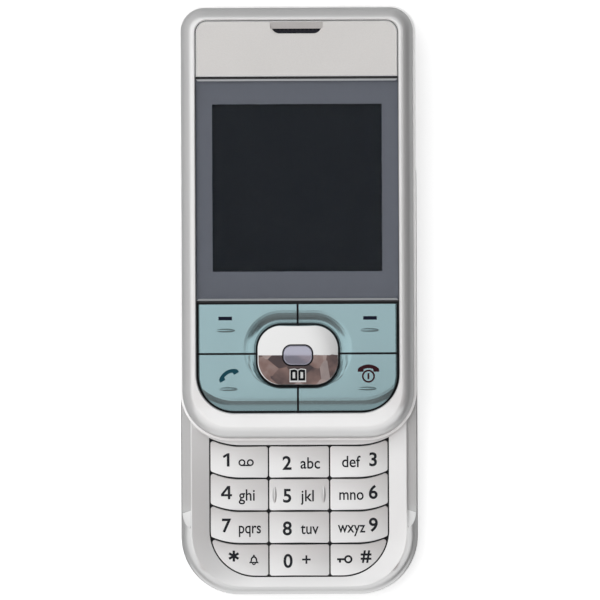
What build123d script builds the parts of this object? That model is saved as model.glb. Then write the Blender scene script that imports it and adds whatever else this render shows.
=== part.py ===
from build123d import *
import os
from math import asin, atan2, cos, degrees, hypot, radians, sin, sqrt

# Slide phone, lying on its back with the display half pushed up.
# X runs across the phone, Y towards the earpiece and Z out of the screen.
# The origin lies under the middle of the open phone, on the surface it rests on.
# All lengths are in millimetres.

# Overall sizes
body_width = 46.5
slider_length = 85.5
chin_lip = 2.3
travel_spare = 2.28
slide_gap = 0.4

# Outline corners and rounded edges
top_corner = 5.1
base_corner = 11.4
slider_corner = 9.8
base_face_round = 2.4
base_back_round = 3.0
slider_face_round = 2.3
slider_back_round = 0.5
rim_step = 0.5

# Walls and clearances
base_wall = 2.6
back_skin = 1.2
face_skin = 1.2
slider_wall = 1.4
slider_skin = 1.0
seat_gap = 0.1
board_clear = 0.3
cut_overrun = 2.0

# Battery, its bay and its cover
battery_side = 7.45
battery_length_share = 0.41
battery_thickness = 3.9
battery_corner = 1.6
battery_clear = 0.15
bay_skin = 0.9
bay_end_wall = 1.5
bay_top_margin = 5.8
cover_thickness = 1.15
cover_lip = 0.55
cover_flange = 0.6
cover_side_margin = 0.65
cover_end_margin = 3.6
cover_clear = 0.15
cover_grip_count = 4
cover_grip_width = 12.0
cover_grip_depth = 0.3
cover_grip_groove = 0.7
cover_grip_pitch = 1.5
cover_grip_margin = 2.4
side_pocket_wall = 1.2
side_pocket_floor = 1.3
contact_count = 3
contact_pitch = 2.6
contact_width = 1.2
contact_sheet = 0.3
contact_foot = 3.0
contact_tip = 0.7

# Boards
board_thickness = 0.8
connector_width = 6.6
connector_length = 2.4
connector_height = 0.6
chip_height = 0.8
slider_board_thickness = 0.6
slider_connector_height = 0.35
board_stand = 0.5
shield_height = 0.95
shield_clear = 0.2
shield_sheet = 0.2
shield_gap = 2.0

# SIM holder under the main board
sim_width = 16.0
sim_length = 18.0
sim_height = 0.75
sim_sheet = 0.25
sim_offset = 4.0

# Slide rails, sled and side guides
rail_side = 3.9
rail_keypad_margin = 4.83
rail_sheet = 0.4
rail_lip = 2.0
channel_room = 1.0
rail_proud = 0.2
rail_top_margin = 0.9
rail_end_gap = 0.4
pocket_skin = 0.8
pocket_gap = 0.15
sled_sheet = 0.4
sled_lip_gap = 0.4
shoe_side_gap = 0.1
shoe_face_gap = 0.06
shoe_wall = 0.2
shoe_width = 1.2
shoe_length_share = 0.33
guide_width = 1.4
guide_side_gap = 0.2
guide_floor_gap = 0.3
guide_end_gap = 0.5
guide_top_margin = 7.0
ledge_width = 1.95
ledge_depth = 1.4
ledge_ramp = 4.3
ledge_end_height = 13.0

# Slide spring and its two pivots
pivot_radius = 0.7
pivot_height = 0.8
spring_wire = 0.5
spring_clear = 0.1
spring_reach = 6.0
spring_base_inset = 6.2
spring_flex_gap = 2.05
spring_eye_degrees = 290.0

# Flexible circuit between the halves
flex_screw_gap = 0.4
flex_width = 6.0
flex_thickness = 0.16
flex_bend_radius = 0.34
flex_floor_gap = 0.12
flex_rise = 0.8
flex_slot = 1.6
flex_side_clear = 0.25
flex_sled_share = 0.333
flex_base_share = 0.518
flex_loop_share = 0.286

# Number keypad
keypad_side = 5.7
deck_fall = 0.35
deck_margin = 0.05
centre_column_share = 0.342
row_pitch = 6.43
keypad_rise = 3.55
keypad_corner = 9.0
row_flat_share = 0.65
row_end_radius = 14.1
key_gap = 0.28
key_proud = 0.1
key_cap = 1.45
key_hollow_radius = 45.0
key_crown_radius = 110.0
key_corner = 0.5
key_corner_degrees = 20.0
key_edge = 0.2
bump_inset = 1.2
key_travel = 0.35
key_stem_radius = 1.5
stem_clear = 0.25
press_clear = 0.05
entry_lip_width = 0.75
entry_lip_offset = 0.3
entry_lip_height = 0.2

# Touch bumps on the keys
bump_length = 3.7
bump_width = 0.8
bump_height = 0.13
bump_root = 0.1

# Key mats and dome sheets
mat_thickness = 0.6
mat_border = 0.45
mat_rim = 0.6
mat_clear = 0.1
dome_sheet = 0.15
dome_height = 0.25
dome_radius = 2.0
dome_sheet_margin = 0.5

# Front opening of the display half
bezel_side_flat = 0.55
bezel_top_flat = 0.2
bezel_bottom_flat = 2.65
opening_top_corner = 2.4
opening_corner = 7.5
opening_edge_round = 0.25
shelf_thickness = 0.8
shelf_margin = 0.6

# Earpiece plate, slot and capsule
plate_length_share = 0.13
plate_sink = 0.15
plate_edge = 0.2
piece_gap = 0.3
ear_width = 10.4
ear_top_drop = 0.35
ear_length = 2.5
ear_corner = 1.9
ear_ramp = 1.3
ear_depth = 0.5
ear_step = 0.25
grille_sheet = 0.3
grille_margin = 0.4
grille_hole = 0.2
grille_columns = 11
grille_rows = 2
grille_pitch = 0.8
earpiece_width = 12.0
earpiece_length = 6.4
earpiece_height = 2.4
earpiece_corner = 2.6

# Display window, mask and panel
window_length_share = 0.511
key_window_gap = 0.24
window_thickness = 1.05
window_sink = 0.15
window_edge = 0.4
mask_thickness = 0.1
screen_border = 3.25
screen_length_share = 0.7522
screen_drop_share = 0.1148
panel_side_margin = 1.4
panel_top_margin = 1.5
panel_foot = 3.0
panel_thickness = 1.8
panel_gap = 0.1
backlight_thickness = 2.1
backlight_margin = 0.4

# Keys of the display half
fkey_sink = 0.1
fkey_cap = 1.8
fkey_round = 0.35
fkey_gap = 0.4
fkey_side_gap = 0.38
fkey_roll_length = 3.0
fkey_roll_drop = 0.75
fkey_roll_length_shares = (-0.3, 0.0, 0.15, 0.3, 0.45, 0.6, 0.8, 1.0)
fkey_roll_drop_shares = (1.7, 1.0, 0.72, 0.49, 0.3, 0.16, 0.04, 0.0)
fkey_split_share = 0.4645
fkey_stem_x_share = 0.72
fkey_stem_y_share = 0.5
soft_bump_x_share = 0.709
soft_bump_y_share = 0.454
call_bump_x_share = 0.683
call_bump_y_share = 0.594
nav_width_share = 0.4
nav_length_share = 0.5479
nav_corner_share = 0.403
nav_gap = 0.3
nav_drop_share = 0.4784
nav_proud = 0.2
nav_thickness = 1.5
nav_dome_radius = 75.0
nav_edge = 0.8
nav_post_radius = 0.6
nav_post_inset = 1.5
dish_side = 2.4
dish_head = 2.6
dish_foot = 0.3
dish_depth = 0.65
dish_width_shares = (0.0, 0.14, 0.29, 0.45, 0.62, 0.8, 1.0)
dish_rise_shares = (0.0, 0.28, 0.52, 0.71, 0.85, 0.95, 1.0)
select_width_share = 0.36
select_length_share = 0.328
select_corner_share = 0.41
select_gap = 0.2
select_proud = 0.1
select_thickness = 1.3
select_edge = 0.3
select_stem_radius = 1.0
carrier_side = 2.775
carrier_end = 2.65
carrier_corner_share = 0.3
carrier_gap = 0.08
carrier_ridge = 0.25

# Screws
screw_shank = 0.7
screw_fit = 0.05
screw_head = 1.3
screw_head_height = 0.7
boss_radius = 1.25
boss_sink = 0.15
boss_clear = 0.3
base_screw_grip = 2.0
small_shank = 0.5
small_head = 0.95
small_head_height = 0.45
rail_screw_inset = 4.2
rail_screw_end = 5.0
sled_screw_inset = 3.2
sled_screw_share = 0.142
stand_radius = 1.4

# Sound, vibration and radio parts in the base
ringer_radius = 6.5
ringer_height = 3.2
ringer_x_share = 0.387
ringer_y = 12.5
ringer_slots = 5
ringer_slot_length = 8.0
ringer_slot_width = 0.8
ringer_slot_pitch = 1.8
motor_radius = 2.1
motor_length = 8.0
motor_x_share = -0.58
motor_y = 4.0
motor_bore_clear = 0.05
cradle_wall = 0.8
shaft_radius = 0.4
shaft_grip = 3.0
weight_radius = 1.9
weight_length = 3.0
weight_gap = 0.6
weight_floor_gap = 0.6
microphone_radius = 2.0
microphone_height = 1.5
microphone_x_share = 0.516
microphone_rise = 7.4
microphone_port = 0.35
antenna_width = 13.0
antenna_length = 9.0
antenna_sheet = 0.3
antenna_x_share = -0.452
antenna_rise = 13.0
antenna_slot = 1.2
antenna_leg = 1.0

# Charging socket in the bottom end
socket_width = 9.4
socket_height = 2.8
socket_depth = 7.5
socket_sheet = 0.3
socket_setback = 0.5
socket_tongue = 0.8
socket_tongue_margin = 1.2
socket_floor = 1.0

# Magnet on the display half's rear cover
magnet_width = 4.0
magnet_length = 5.0
magnet_height = 0.4
magnet_x_share = -0.43
magnet_rise = 9.0

# Lengthwise places
slide_travel = 4 * row_pitch + travel_spare
base_length = slider_length + chin_lip
open_length = base_length + slide_travel
base_bottom = -open_length / 2
base_top = base_bottom + base_length
slider_top = open_length / 2
slider_bottom = slider_top - slider_length

# Heights in the base, from the back to the face
bay_ceiling = cover_thickness + battery_clear + battery_thickness + battery_clear
base_seam = bay_ceiling + bay_skin
board_top = base_seam + board_thickness
pocket_ceiling = board_top + shield_height + shield_clear
pocket_floor = pocket_ceiling + pocket_skin
web_top = pocket_floor + rail_sheet
rail_crest = web_top + channel_room + rail_sheet
base_face = rail_crest - rail_proud
keypad_ceiling = base_face - face_skin
ledge_floor = base_face - ledge_depth

# Heights in the display half, from its back to its face
slider_back = base_face + slide_gap
slider_floor = slider_back + slider_skin
slider_board_low = slider_floor + board_stand
slider_board_top = slider_board_low + slider_board_thickness
slider_seam = slider_board_top + seat_gap
panel_low = slider_board_top + backlight_thickness
panel_top = panel_low + panel_thickness
shelf_low = panel_top + panel_gap
shelf_top = shelf_low + shelf_thickness
window_low = shelf_top + mask_thickness
window_top_face = window_low + window_thickness
slider_face = window_top_face + window_sink

# Heights of the number keys
key_top = base_face + key_proud
key_low = key_top - key_cap
key_middle = key_top - (row_pitch / 2) ** 2 / (2 * key_hollow_radius)
mat_top = key_low - key_travel - mat_clear
mat_low = mat_top - mat_thickness
dome_top = board_top + dome_sheet + dome_height
stem_end = dome_top + press_clear + key_travel

# Heights of the display half's keys
fkey_top_face = slider_face - fkey_sink
fkey_low = fkey_top_face - fkey_cap
fmat_top = fkey_low - key_travel - mat_clear
fmat_low = fmat_top - mat_thickness
fdome_top = slider_board_top + dome_sheet + dome_height
fstem_end = fdome_top + press_clear + key_travel
nav_top = slider_face + nav_proud
nav_low = nav_top - nav_thickness
select_top = nav_top - select_proud
select_low = select_top - select_thickness
carrier_top = nav_low - carrier_gap - carrier_ridge
carrier_low = fmat_top + carrier_gap + carrier_ridge

# Places across and along the faces
half_width = body_width / 2
ledge_half = half_width - ledge_width
keypad_width = body_width - 2 * keypad_side
centre_column = centre_column_share * keypad_width
keypad_bottom = base_bottom + keypad_rise
keypad_top = keypad_bottom + 4 * row_pitch
row_flat_half = row_flat_share * keypad_width / 2
ledge_end = base_bottom + ledge_end_height
bezel_roll = rim_step + slider_face_round
opening_width = body_width - 2 * (bezel_roll + bezel_side_flat)
opening_top = slider_top - bezel_roll - bezel_top_flat
opening_bottom = slider_bottom + bezel_roll + bezel_bottom_flat
plate_bottom = opening_top - plate_length_share * slider_length
window_top = plate_bottom - piece_gap
window_length = window_length_share * slider_length
window_bottom = window_top - window_length
fkey_top = window_bottom - key_window_gap
fkey_length = fkey_top - opening_bottom
fkey_split = fkey_top - fkey_split_share * fkey_length
nav_y = fkey_top - nav_drop_share * fkey_length
nav_width = nav_width_share * opening_width
nav_length = nav_length_share * fkey_length
nav_corner = nav_corner_share * nav_length
select_width = select_width_share * nav_width
select_length = select_length_share * nav_length
select_corner = select_corner_share * select_length
carrier_width = nav_width - 2 * carrier_side
carrier_length = nav_length - 2 * carrier_end
carrier_corner = carrier_corner_share * carrier_length
screen_width = opening_width - 2 * screen_border
screen_top = window_top - screen_drop_share * window_length
screen_length = screen_length_share * window_length
screen_bottom = screen_top - screen_length
ear_top = opening_top - ear_top_drop
ear_bottom = ear_top - ear_length
ear_slot_top = ear_top - ear_ramp

# Places of the slide
rail_half = ledge_half - rail_side
rail_top = base_top - rail_top_margin
rail_bottom = keypad_top + rail_keypad_margin
sled_top = rail_top - rail_end_gap
sled_bottom = rail_bottom + slide_travel + rail_end_gap
sled_length = sled_top - sled_bottom
shoe_length = shoe_length_share * sled_length
channel_half = rail_half - rail_sheet
lip_half = rail_half - rail_lip
sled_wall_half = lip_half - sled_lip_gap
sled_flange_half = channel_half - shoe_side_gap - shoe_wall
sled_flange_low = web_top + (channel_room - sled_sheet) / 2
guide_low = ledge_floor + guide_floor_gap
guide_bottom = ledge_end + ledge_ramp + guide_end_gap + slide_travel
guide_top = slider_top - guide_top_margin
sled_screw_x = sled_wall_half - sled_screw_inset
sled_screw_end = sled_screw_share * sled_length
flex_x = sled_screw_x - small_head - flex_screw_gap - flex_side_clear - flex_width / 2
flex_slider_y = sled_top - flex_sled_share * sled_length
flex_base_y = flex_slider_y - flex_base_share * slide_travel
flex_loop = flex_loop_share * slide_travel
spring_eye = pivot_radius + spring_clear + spring_wire
spring_base_x = spring_base_inset - sled_wall_half
spring_sled_x = flex_x - flex_width / 2 - flex_side_clear - spring_flex_gap - spring_eye
spring_sled_y = (sled_top + sled_bottom) / 2
spring_base_y = spring_sled_y - slide_travel / 2
spring_height = web_top + pivot_height / 2

# Places of the battery
battery_width = body_width - 2 * battery_side
battery_length = battery_length_share * base_length
battery_top = base_top - bay_top_margin - battery_clear
battery_bottom = battery_top - battery_length
bay_half = battery_width / 2 + battery_clear
bay_top = battery_top + battery_clear
bay_bottom = battery_bottom - battery_clear
cover_half = bay_half + cover_side_margin
flange_half = cover_half + cover_flange
cover_bottom = bay_bottom - cover_end_margin
well_top = bay_bottom - bay_end_wall

# Places of the small parts in the base and on the rear cover
ringer_x = ringer_x_share * half_width
microphone_x = microphone_x_share * half_width
antenna_x = antenna_x_share * half_width
magnet_x = magnet_x_share * half_width
motor_x = motor_x_share * half_width
motor_z = back_skin + weight_floor_gap + weight_radius
motor_far = well_top - motor_y
motor_near = motor_far - motor_length
weight_far = motor_near - weight_gap
weight_near = weight_far - weight_length


def prism(outline, low, high):
    """A flat outline raised from one height to another."""
    return Pos(0, 0, low) * extrude(outline, amount=high - low)


def block(left, right, near, far, low, high):
    """A box between two places on each axis."""
    middle = Pos((left + right) / 2, (near + far) / 2, (low + high) / 2)
    return middle * Box(right - left, far - near, high - low)


def post(x, y, radius, low, high):
    """An upright round post."""
    return Pos(x, y, (low + high) / 2) * Cylinder(radius, high - low)


def rounded(width, length, radius, x=0, y=0):
    """A rectangle with round corners about a point."""
    return Pos(x, y) * RectangleRounded(width, length, radius)


def both_sides(solid):
    """A solid on the right with its mirror image on the left."""
    return solid + mirror(solid, about=Plane.YZ)


def shield(width, top, bottom, top_radius, bottom_radius, inset=0):
    """Straight-sided outline with its own corner radius at each end, drawn in by inset."""
    high = top - inset
    low = bottom + inset
    face = Pos(0, (high + low) / 2) * Rectangle(width - 2 * inset, high - low)
    if top_radius > inset:
        face = fillet(face.vertices().group_by(Axis.Y)[-1], top_radius - inset)
    return fillet(face.vertices().group_by(Axis.Y)[0], bottom_radius - inset)


def base_outline(inset=0):
    return shield(body_width, base_top, base_bottom, top_corner, base_corner, inset)


def slider_outline(inset=0):
    return shield(body_width, slider_top, slider_bottom, top_corner, slider_corner, inset)


def opening_outline(inset=0):
    """The bezel's front opening."""
    return shield(opening_width, opening_top, opening_bottom,
                  opening_top_corner, opening_corner, inset)


def opening_part(top, bottom, inset=0):
    """The stretch of the front opening between two heights, drawn in by inset."""
    strip = Pos(0, (top + bottom) / 2) * Rectangle(opening_width, top - bottom - 2 * inset)
    return opening_outline(inset) & strip


def fkey_outline(inset=0):
    """The field of the display half's keys."""
    return opening_part(fkey_top, opening_bottom, inset)


def nav_outline(grow=0):
    return rounded(nav_width + 2 * grow, nav_length + 2 * grow, nav_corner + grow, 0, nav_y)


def row_band(top, bottom, reach):
    """The band between two key rows, straight in the middle and swept up at both ends."""
    turn = degrees(asin((reach - row_flat_half) / row_end_radius))
    edges = []
    for height in (top, bottom):
        start = (row_flat_half, height)
        mirror_start = (-row_flat_half, height)
        edges.append([
            Line(mirror_start, start),
            JernArc(start, (1, 0), row_end_radius, turn),
            JernArc(mirror_start, (-1, 0), row_end_radius, -turn),
        ])
    upper, lower = edges
    ends = [Line(upper[side] @ 1, lower[side] @ 1) for side in (1, 2)]
    return make_face(upper + lower + ends)


def keypad_outline(inset=0):
    """The field of the number keys."""
    field = shield(keypad_width, keypad_top + row_pitch, keypad_bottom, 0, keypad_corner, inset)
    return field & row_band(keypad_top - inset, keypad_bottom - row_pitch, keypad_width / 2 - inset)


def column_edges():
    """Left and right edge of each column of number keys."""
    outer = keypad_width / 2
    inner = centre_column / 2
    return [(-outer, -inner), (-inner, inner), (inner, outer)]


def number_key_places():
    """Node name, column and row of each number key."""
    names = ["1", "2", "3", "4", "5", "6", "7", "8", "9", "star", "0", "hash"]
    return [("key_" + name, place % 3, place // 3) for place, name in enumerate(names)]


def number_key_centre(column, row):
    left, right = column_edges()[column]
    return (left + right) / 2, keypad_top - (row + 1 / 2) * row_pitch


def fkey_sides():
    """Node name, side of the middle line and side of the split line of each function key."""
    return [("left_soft_key", -1, 1), ("right_soft_key", 1, 1),
            ("call_key", -1, -1), ("end_key", 1, -1)]


def fkey_centre(side, level):
    """Where a function key's stem stands."""
    if level > 0:
        rise = (fkey_top - fkey_split) * fkey_stem_y_share
    else:
        rise = (fkey_split - opening_bottom) * fkey_stem_y_share
    return side * fkey_stem_x_share * opening_width / 2, fkey_split + level * rise


def fkey_bump_place(side, level):
    """Where a function key's touch bump lies."""
    if level > 0:
        x_share = soft_bump_x_share
        rise = (fkey_top - fkey_split) * soft_bump_y_share
    else:
        x_share = call_bump_x_share
        rise = (fkey_split - opening_bottom) * call_bump_y_share
    return side * x_share * opening_width / 2, fkey_split + level * rise


def nav_post_places():
    reach_x = nav_width / 2 - nav_post_inset
    reach_y = nav_length / 2 - nav_post_inset
    return [(reach_x, nav_y), (-reach_x, nav_y), (0, nav_y + reach_y), (0, nav_y - reach_y)]


def base_screw_places():
    """The base's four housing screws: two in the lower corners, two beside the top."""
    diagonal = (base_corner - base_wall - boss_radius + boss_sink) * cos(radians(45))
    low_x = half_width - base_corner + diagonal
    low_y = base_bottom + base_corner - diagonal
    high_x = half_width - base_wall - boss_radius - boss_sink
    high_y = base_top - base_wall - boss_radius - boss_sink
    return [(low_x, low_y), (-low_x, low_y), (high_x, high_y), (-high_x, high_y)]


def slider_screw_places():
    """The display half's four screws, one in each corner."""
    wall = rim_step + slider_wall
    reach = boss_radius - boss_sink
    diagonal = (slider_corner - wall - reach) * cos(radians(45))
    low_x = half_width - slider_corner + diagonal
    low_y = slider_bottom + slider_corner - diagonal
    high_x = half_width - wall - reach
    high_y = slider_top - wall - top_corner
    return [(low_x, low_y), (-low_x, low_y), (high_x, high_y), (-high_x, high_y)]


def rail_screw_places():
    x = lip_half - rail_screw_inset
    return [(side * x, y) for side in (-1, 1)
            for y in (rail_bottom + rail_screw_end, rail_top - rail_screw_end)]


def sled_screw_places():
    return [(side * sled_screw_x, y) for side in (-1, 1)
            for y in (sled_bottom + sled_screw_end, sled_top - sled_screw_end)]


def spring_frame():
    """Spring pivots, coil centre and the directions of both legs."""
    start = Vector(spring_base_x, spring_base_y)
    end = Vector(spring_sled_x, spring_sled_y)
    along = (end - start).normalized()
    coil = (start + end) / 2 + Vector(along.Y, -along.X) * spring_reach
    return start, coil, end


def flex_slot_cut(y, low, high):
    """Opening that lets the flexible circuit through a wall."""
    half = flex_width / 2 + flex_side_clear
    return block(flex_x - half, flex_x + half, y - flex_slot / 2, y + flex_slot / 2, low, high)


# Base


def ledge_cut():
    """Side ledge on the right, with its ramp up to the face at the lower end."""
    radius = (ledge_ramp ** 2 + ledge_depth ** 2) / (2 * ledge_depth)
    ramp_start = (ledge_end + ledge_ramp, ledge_floor)
    ramp = JernArc(ramp_start, (-1, 0), radius, -degrees(asin(ledge_ramp / radius)))
    above = base_face + cut_overrun
    beyond = base_top + cut_overrun
    rest = Polyline(ramp @ 1, (ledge_end, above), (beyond, above), (beyond, ledge_floor), ramp_start)
    profile = make_face([ramp] + list(rest.edges()))
    return extrude(Plane.YZ.offset(ledge_half) * profile, amount=ledge_width + cut_overrun)


def deck_slope():
    """What is cut from the deck so that it falls gently to the keypad on three sides."""
    width = ledge_half - deck_margin - keypad_width / 2 - key_gap / 2
    far = base_top + base_length
    near = [shield(keypad_width, far, keypad_bottom, 0, keypad_corner, -key_gap / 2 - grow)
            for grow in (0, width)]
    low = base_face - deck_fall
    hollow = loft([Pos(0, 0, low) * near[0], Pos(0, 0, base_face) * near[1]], ruled=True)
    return hollow - prism(near[0], low, base_face)


def base_front_housing():
    """Front shell: keypad opening, rail pocket, side ledges and the lip at the keypad's top."""
    shell = prism(base_outline(), base_seam, base_face)
    shell = fillet(shell.faces().sort_by(Axis.Z)[-1].edges(), base_face_round)
    shell -= deck_slope()
    lip_low = keypad_top + entry_lip_offset
    lip = row_band(lip_low + entry_lip_width, lip_low, half_width - base_face_round)
    shell += prism(lip, keypad_ceiling, base_face + entry_lip_height)
    shell -= both_sides(ledge_cut())
    shell -= prism(base_outline(base_wall), base_seam - cut_overrun, pocket_ceiling)
    shell -= prism(keypad_outline(-mat_border - seat_gap), base_seam, keypad_ceiling)
    shell -= prism(keypad_outline(-key_gap / 2), base_seam, base_face + cut_overrun)
    pocket_half = rail_half + pocket_gap
    shell -= block(-pocket_half, pocket_half, rail_bottom - pocket_gap, rail_top + pocket_gap,
                   pocket_floor, base_face + cut_overrun)
    shell -= flex_slot_cut(flex_base_y, base_seam, base_face)
    for x, y in rail_screw_places():
        shell -= post(x, y, small_shank + screw_fit, pocket_ceiling - cut_overrun, base_face)
    for x, y in base_screw_places():
        shell += post(x, y, boss_radius, base_seam, pocket_ceiling)
        hole_top = base_seam + base_screw_grip + seat_gap
        shell -= post(x, y, screw_shank + screw_fit, base_seam - cut_overrun, hole_top)
    return shell


def base_back_form():
    """The back of the base before anything is cut from it."""
    form = prism(base_outline(), 0, base_seam)
    return fillet(form.faces().sort_by(Axis.Z)[0].edges(), base_back_round)


def cover_form(grow):
    """The battery cover's space: a plate whose upper flange hooks behind the back's lips."""
    far = base_top + cut_overrun
    near = cover_bottom - grow
    plate = block(-cover_half - grow, cover_half + grow, near, far, -cut_overrun, cover_thickness + grow)
    flange = block(-flange_half - grow, flange_half + grow, near, far,
                   cover_lip - grow, cover_thickness + grow)
    return plate + flange


def base_rear_housing():
    """Back shell: battery bay, cover slot, well for the sound parts, and screw bosses."""
    shell = base_back_form()
    well = base_outline(base_wall)
    strip = Pos(0, (well_top + base_bottom) / 2) * Rectangle(body_width, well_top - base_bottom)
    shell -= prism(well & strip, back_skin, base_seam + cut_overrun)
    shell -= cover_form(cover_clear)
    shell -= block(-bay_half, bay_half, bay_bottom, bay_top, 0, bay_ceiling)
    pocket_near = bay_half + side_pocket_wall
    pocket = block(pocket_near, half_width - base_wall, bay_bottom, bay_top - bay_end_wall - boss_radius,
                   cover_thickness + side_pocket_floor, base_seam + cut_overrun)
    shell -= both_sides(pocket)
    sim_half = sim_width / 2 + seat_gap
    sim_y = bay_top - sim_offset
    shell -= block(-sim_half, sim_half, sim_y - sim_length - seat_gap, sim_y + seat_gap,
                   bay_ceiling - cut_overrun, base_seam + cut_overrun)
    contact_half = contact_count * contact_pitch / 2
    shell -= block(-contact_half, contact_half, well_top - cut_overrun, bay_bottom + cut_overrun,
                   contact_foot - contact_sheet, base_seam + cut_overrun)
    shell += motor_cradle()
    for slot in range(ringer_slots):
        y = well_top - ringer_y + (slot - (ringer_slots - 1) / 2) * ringer_slot_pitch
        outline = Pos(ringer_x, y) * SlotOverall(ringer_slot_length, ringer_slot_width)
        shell -= prism(outline, -cut_overrun, back_skin + cut_overrun)
    socket_half = socket_width / 2 + seat_gap
    shell -= block(-socket_half, socket_half,
                   base_bottom - cut_overrun, base_bottom + base_wall + cut_overrun,
                   base_seam - socket_height - seat_gap, base_seam + cut_overrun)
    port_z = base_seam - microphone_height / 2
    port = Pos(microphone_x, base_bottom, port_z) * Rot(90, 0, 0)
    shell -= port * Cylinder(microphone_port, 2 * (base_wall + cut_overrun))
    for x, y in base_screw_places():
        shell += post(x, y, boss_radius, back_skin, base_seam)
        shell -= post(x, y, screw_shank + screw_fit, -cut_overrun, base_seam + cut_overrun)
        shell -= post(x, y, screw_head + screw_fit, -cut_overrun, cover_thickness + screw_head_height)
    return shell


def motor_cradle():
    """Saddle on the back shell that holds the vibration motor."""
    half = motor_radius + cradle_wall
    saddle = block(motor_x - half, motor_x + half, motor_near + cradle_wall, motor_far - cradle_wall,
                   back_skin, motor_z)
    seat = Pos(motor_x, (motor_near + motor_far) / 2, motor_z)
    return saddle - seat * Rot(90, 0, 0) * Cylinder(motor_radius + seat_gap, motor_length)


def battery_cover():
    """Back cover that slides off towards the top, with a grooved thumb grip."""
    cover = base_back_form() & cover_form(0)
    grip_y = cover_bottom + cover_grip_margin
    for groove in range(cover_grip_count):
        slot = SlotOverall(cover_grip_width, cover_grip_groove)
        cover -= prism(Pos(0, grip_y + groove * cover_grip_pitch) * slot, -cut_overrun, cover_grip_depth)
    return cover


def battery_pack():
    outline = rounded(battery_width, battery_length, battery_corner, 0, (battery_top + battery_bottom) / 2)
    return prism(outline, cover_thickness + battery_clear, bay_ceiling - battery_clear)


def battery_contacts():
    """Spring leaves from the main board down to the battery's end."""
    leaves = []
    for leaf in range(contact_count):
        x = (leaf - (contact_count - 1) / 2) * contact_pitch
        left = x - contact_width / 2
        right = x + contact_width / 2
        near = bay_bottom - contact_sheet - seat_gap
        stem = block(left, right, near, near + contact_sheet, contact_foot, base_seam)
        tip = block(left, right, near, battery_bottom, contact_foot, contact_foot + contact_tip)
        leaves.append(stem + tip)
    return Compound(children=leaves)


def main_board():
    """Main circuit board with the flexible circuit's connector and two chips."""
    board = prism(base_outline(base_wall + board_clear), base_seam, board_top)
    for x, y in base_screw_places():
        board -= post(x, y, boss_radius + boss_clear, base_seam - cut_overrun, board_top + cut_overrun)
    half = connector_width / 2
    connector = block(flex_x - half, flex_x + half, flex_base_y - connector_length / 2,
                      flex_base_y + connector_length / 2, board_top, board_top + connector_height)
    chips = []
    for step in (1, 2):
        y = flex_base_y - step * (connector_width + connector_length)
        chips.append(block(flex_x - half, flex_x + half, y - half, y + half,
                           board_top, board_top + chip_height))
    return Compound(children=[board, connector] + chips)


def shield_cans():
    """Two stamped cans over the radio and processor parts, left of the connector."""
    right = flex_x - connector_width / 2 - shield_gap
    left = -half_width + base_wall + shield_gap
    far = base_top - base_wall - shield_gap - 2 * boss_radius
    middle = (far + keypad_top + shield_gap + mat_border) / 2
    cans = []
    for low_y, high_y in ((middle + shield_gap / 2, far), (2 * middle - far, middle - shield_gap / 2)):
        can = block(left, right, low_y, high_y, board_top, board_top + shield_height)
        can -= block(left + shield_sheet, right - shield_sheet, low_y + shield_sheet, high_y - shield_sheet,
                     board_top - cut_overrun, board_top + shield_height - shield_sheet)
        cans.append(can)
    return Compound(children=cans)


def sim_holder():
    """Sheet tray with two folded rails, hung under the main board in the battery bay."""
    half = sim_width / 2
    far = bay_top - sim_offset
    near = far - sim_length
    tray = block(-half, half, near, far, base_seam - sim_sheet, base_seam)
    rail = block(half - sim_sheet, half, near, far, base_seam - sim_height, base_seam)
    fold = block(half - 2 * sim_height, half, near, far,
                 base_seam - sim_height, base_seam - sim_height + sim_sheet)
    return tray + both_sides(rail + fold)


def ringer_speaker():
    """Round loudspeaker on the back shell, with a raised magnet pot."""
    y = well_top - ringer_y
    basket = post(ringer_x, y, ringer_radius, back_skin, back_skin + ringer_height / 2)
    pot = post(ringer_x, y, ringer_radius * 2 / 3, back_skin, back_skin + ringer_height)
    return basket + pot


def vibration_motor():
    """Round motor can with a bore for its shaft."""
    seat = Pos(motor_x, (motor_near + motor_far) / 2, motor_z) * Rot(90, 0, 0)
    bore = Pos(motor_x, motor_near + shaft_grip / 2, motor_z) * Rot(90, 0, 0)
    can = seat * Cylinder(motor_radius, motor_length)
    return can - bore * Cylinder(shaft_radius + motor_bore_clear, shaft_grip + 2 * motor_bore_clear)


def vibration_weight():
    """Half-round weight and the shaft that it turns on."""
    disc = Pos(motor_x, (weight_near + weight_far) / 2, motor_z) * Rot(90, 0, 0)
    weight = disc * Cylinder(weight_radius, weight_length)
    weight -= block(motor_x - weight_radius, motor_x + weight_radius, weight_near - cut_overrun,
                    weight_far + cut_overrun, motor_z + shaft_radius, motor_z + weight_radius)
    shaft_far = motor_near + shaft_grip
    shaft = Pos(motor_x, (weight_near + shaft_far) / 2, motor_z) * Rot(90, 0, 0)
    return weight + shaft * Cylinder(shaft_radius, shaft_far - weight_near)


def microphone():
    return post(microphone_x, base_bottom + microphone_rise, microphone_radius,
                base_seam - microphone_height, base_seam)


def antenna():
    """Sheet antenna on the back shell with two feed legs up to the board."""
    left = antenna_x - antenna_width / 2
    right = antenna_x + antenna_width / 2
    near = base_bottom + antenna_rise - antenna_length / 2
    far = near + antenna_length
    sheet = block(left, right, near, far, back_skin, back_skin + antenna_sheet)
    sheet -= block(left + antenna_slot, right - antenna_slot, near + antenna_slot, far - 2 * antenna_slot,
                   back_skin - cut_overrun, back_skin + cut_overrun)
    for x in (right - antenna_leg, right - 3 * antenna_leg):
        sheet += block(x, x + antenna_leg, far - antenna_sheet, far, back_skin, base_seam)
    return sheet


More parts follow.
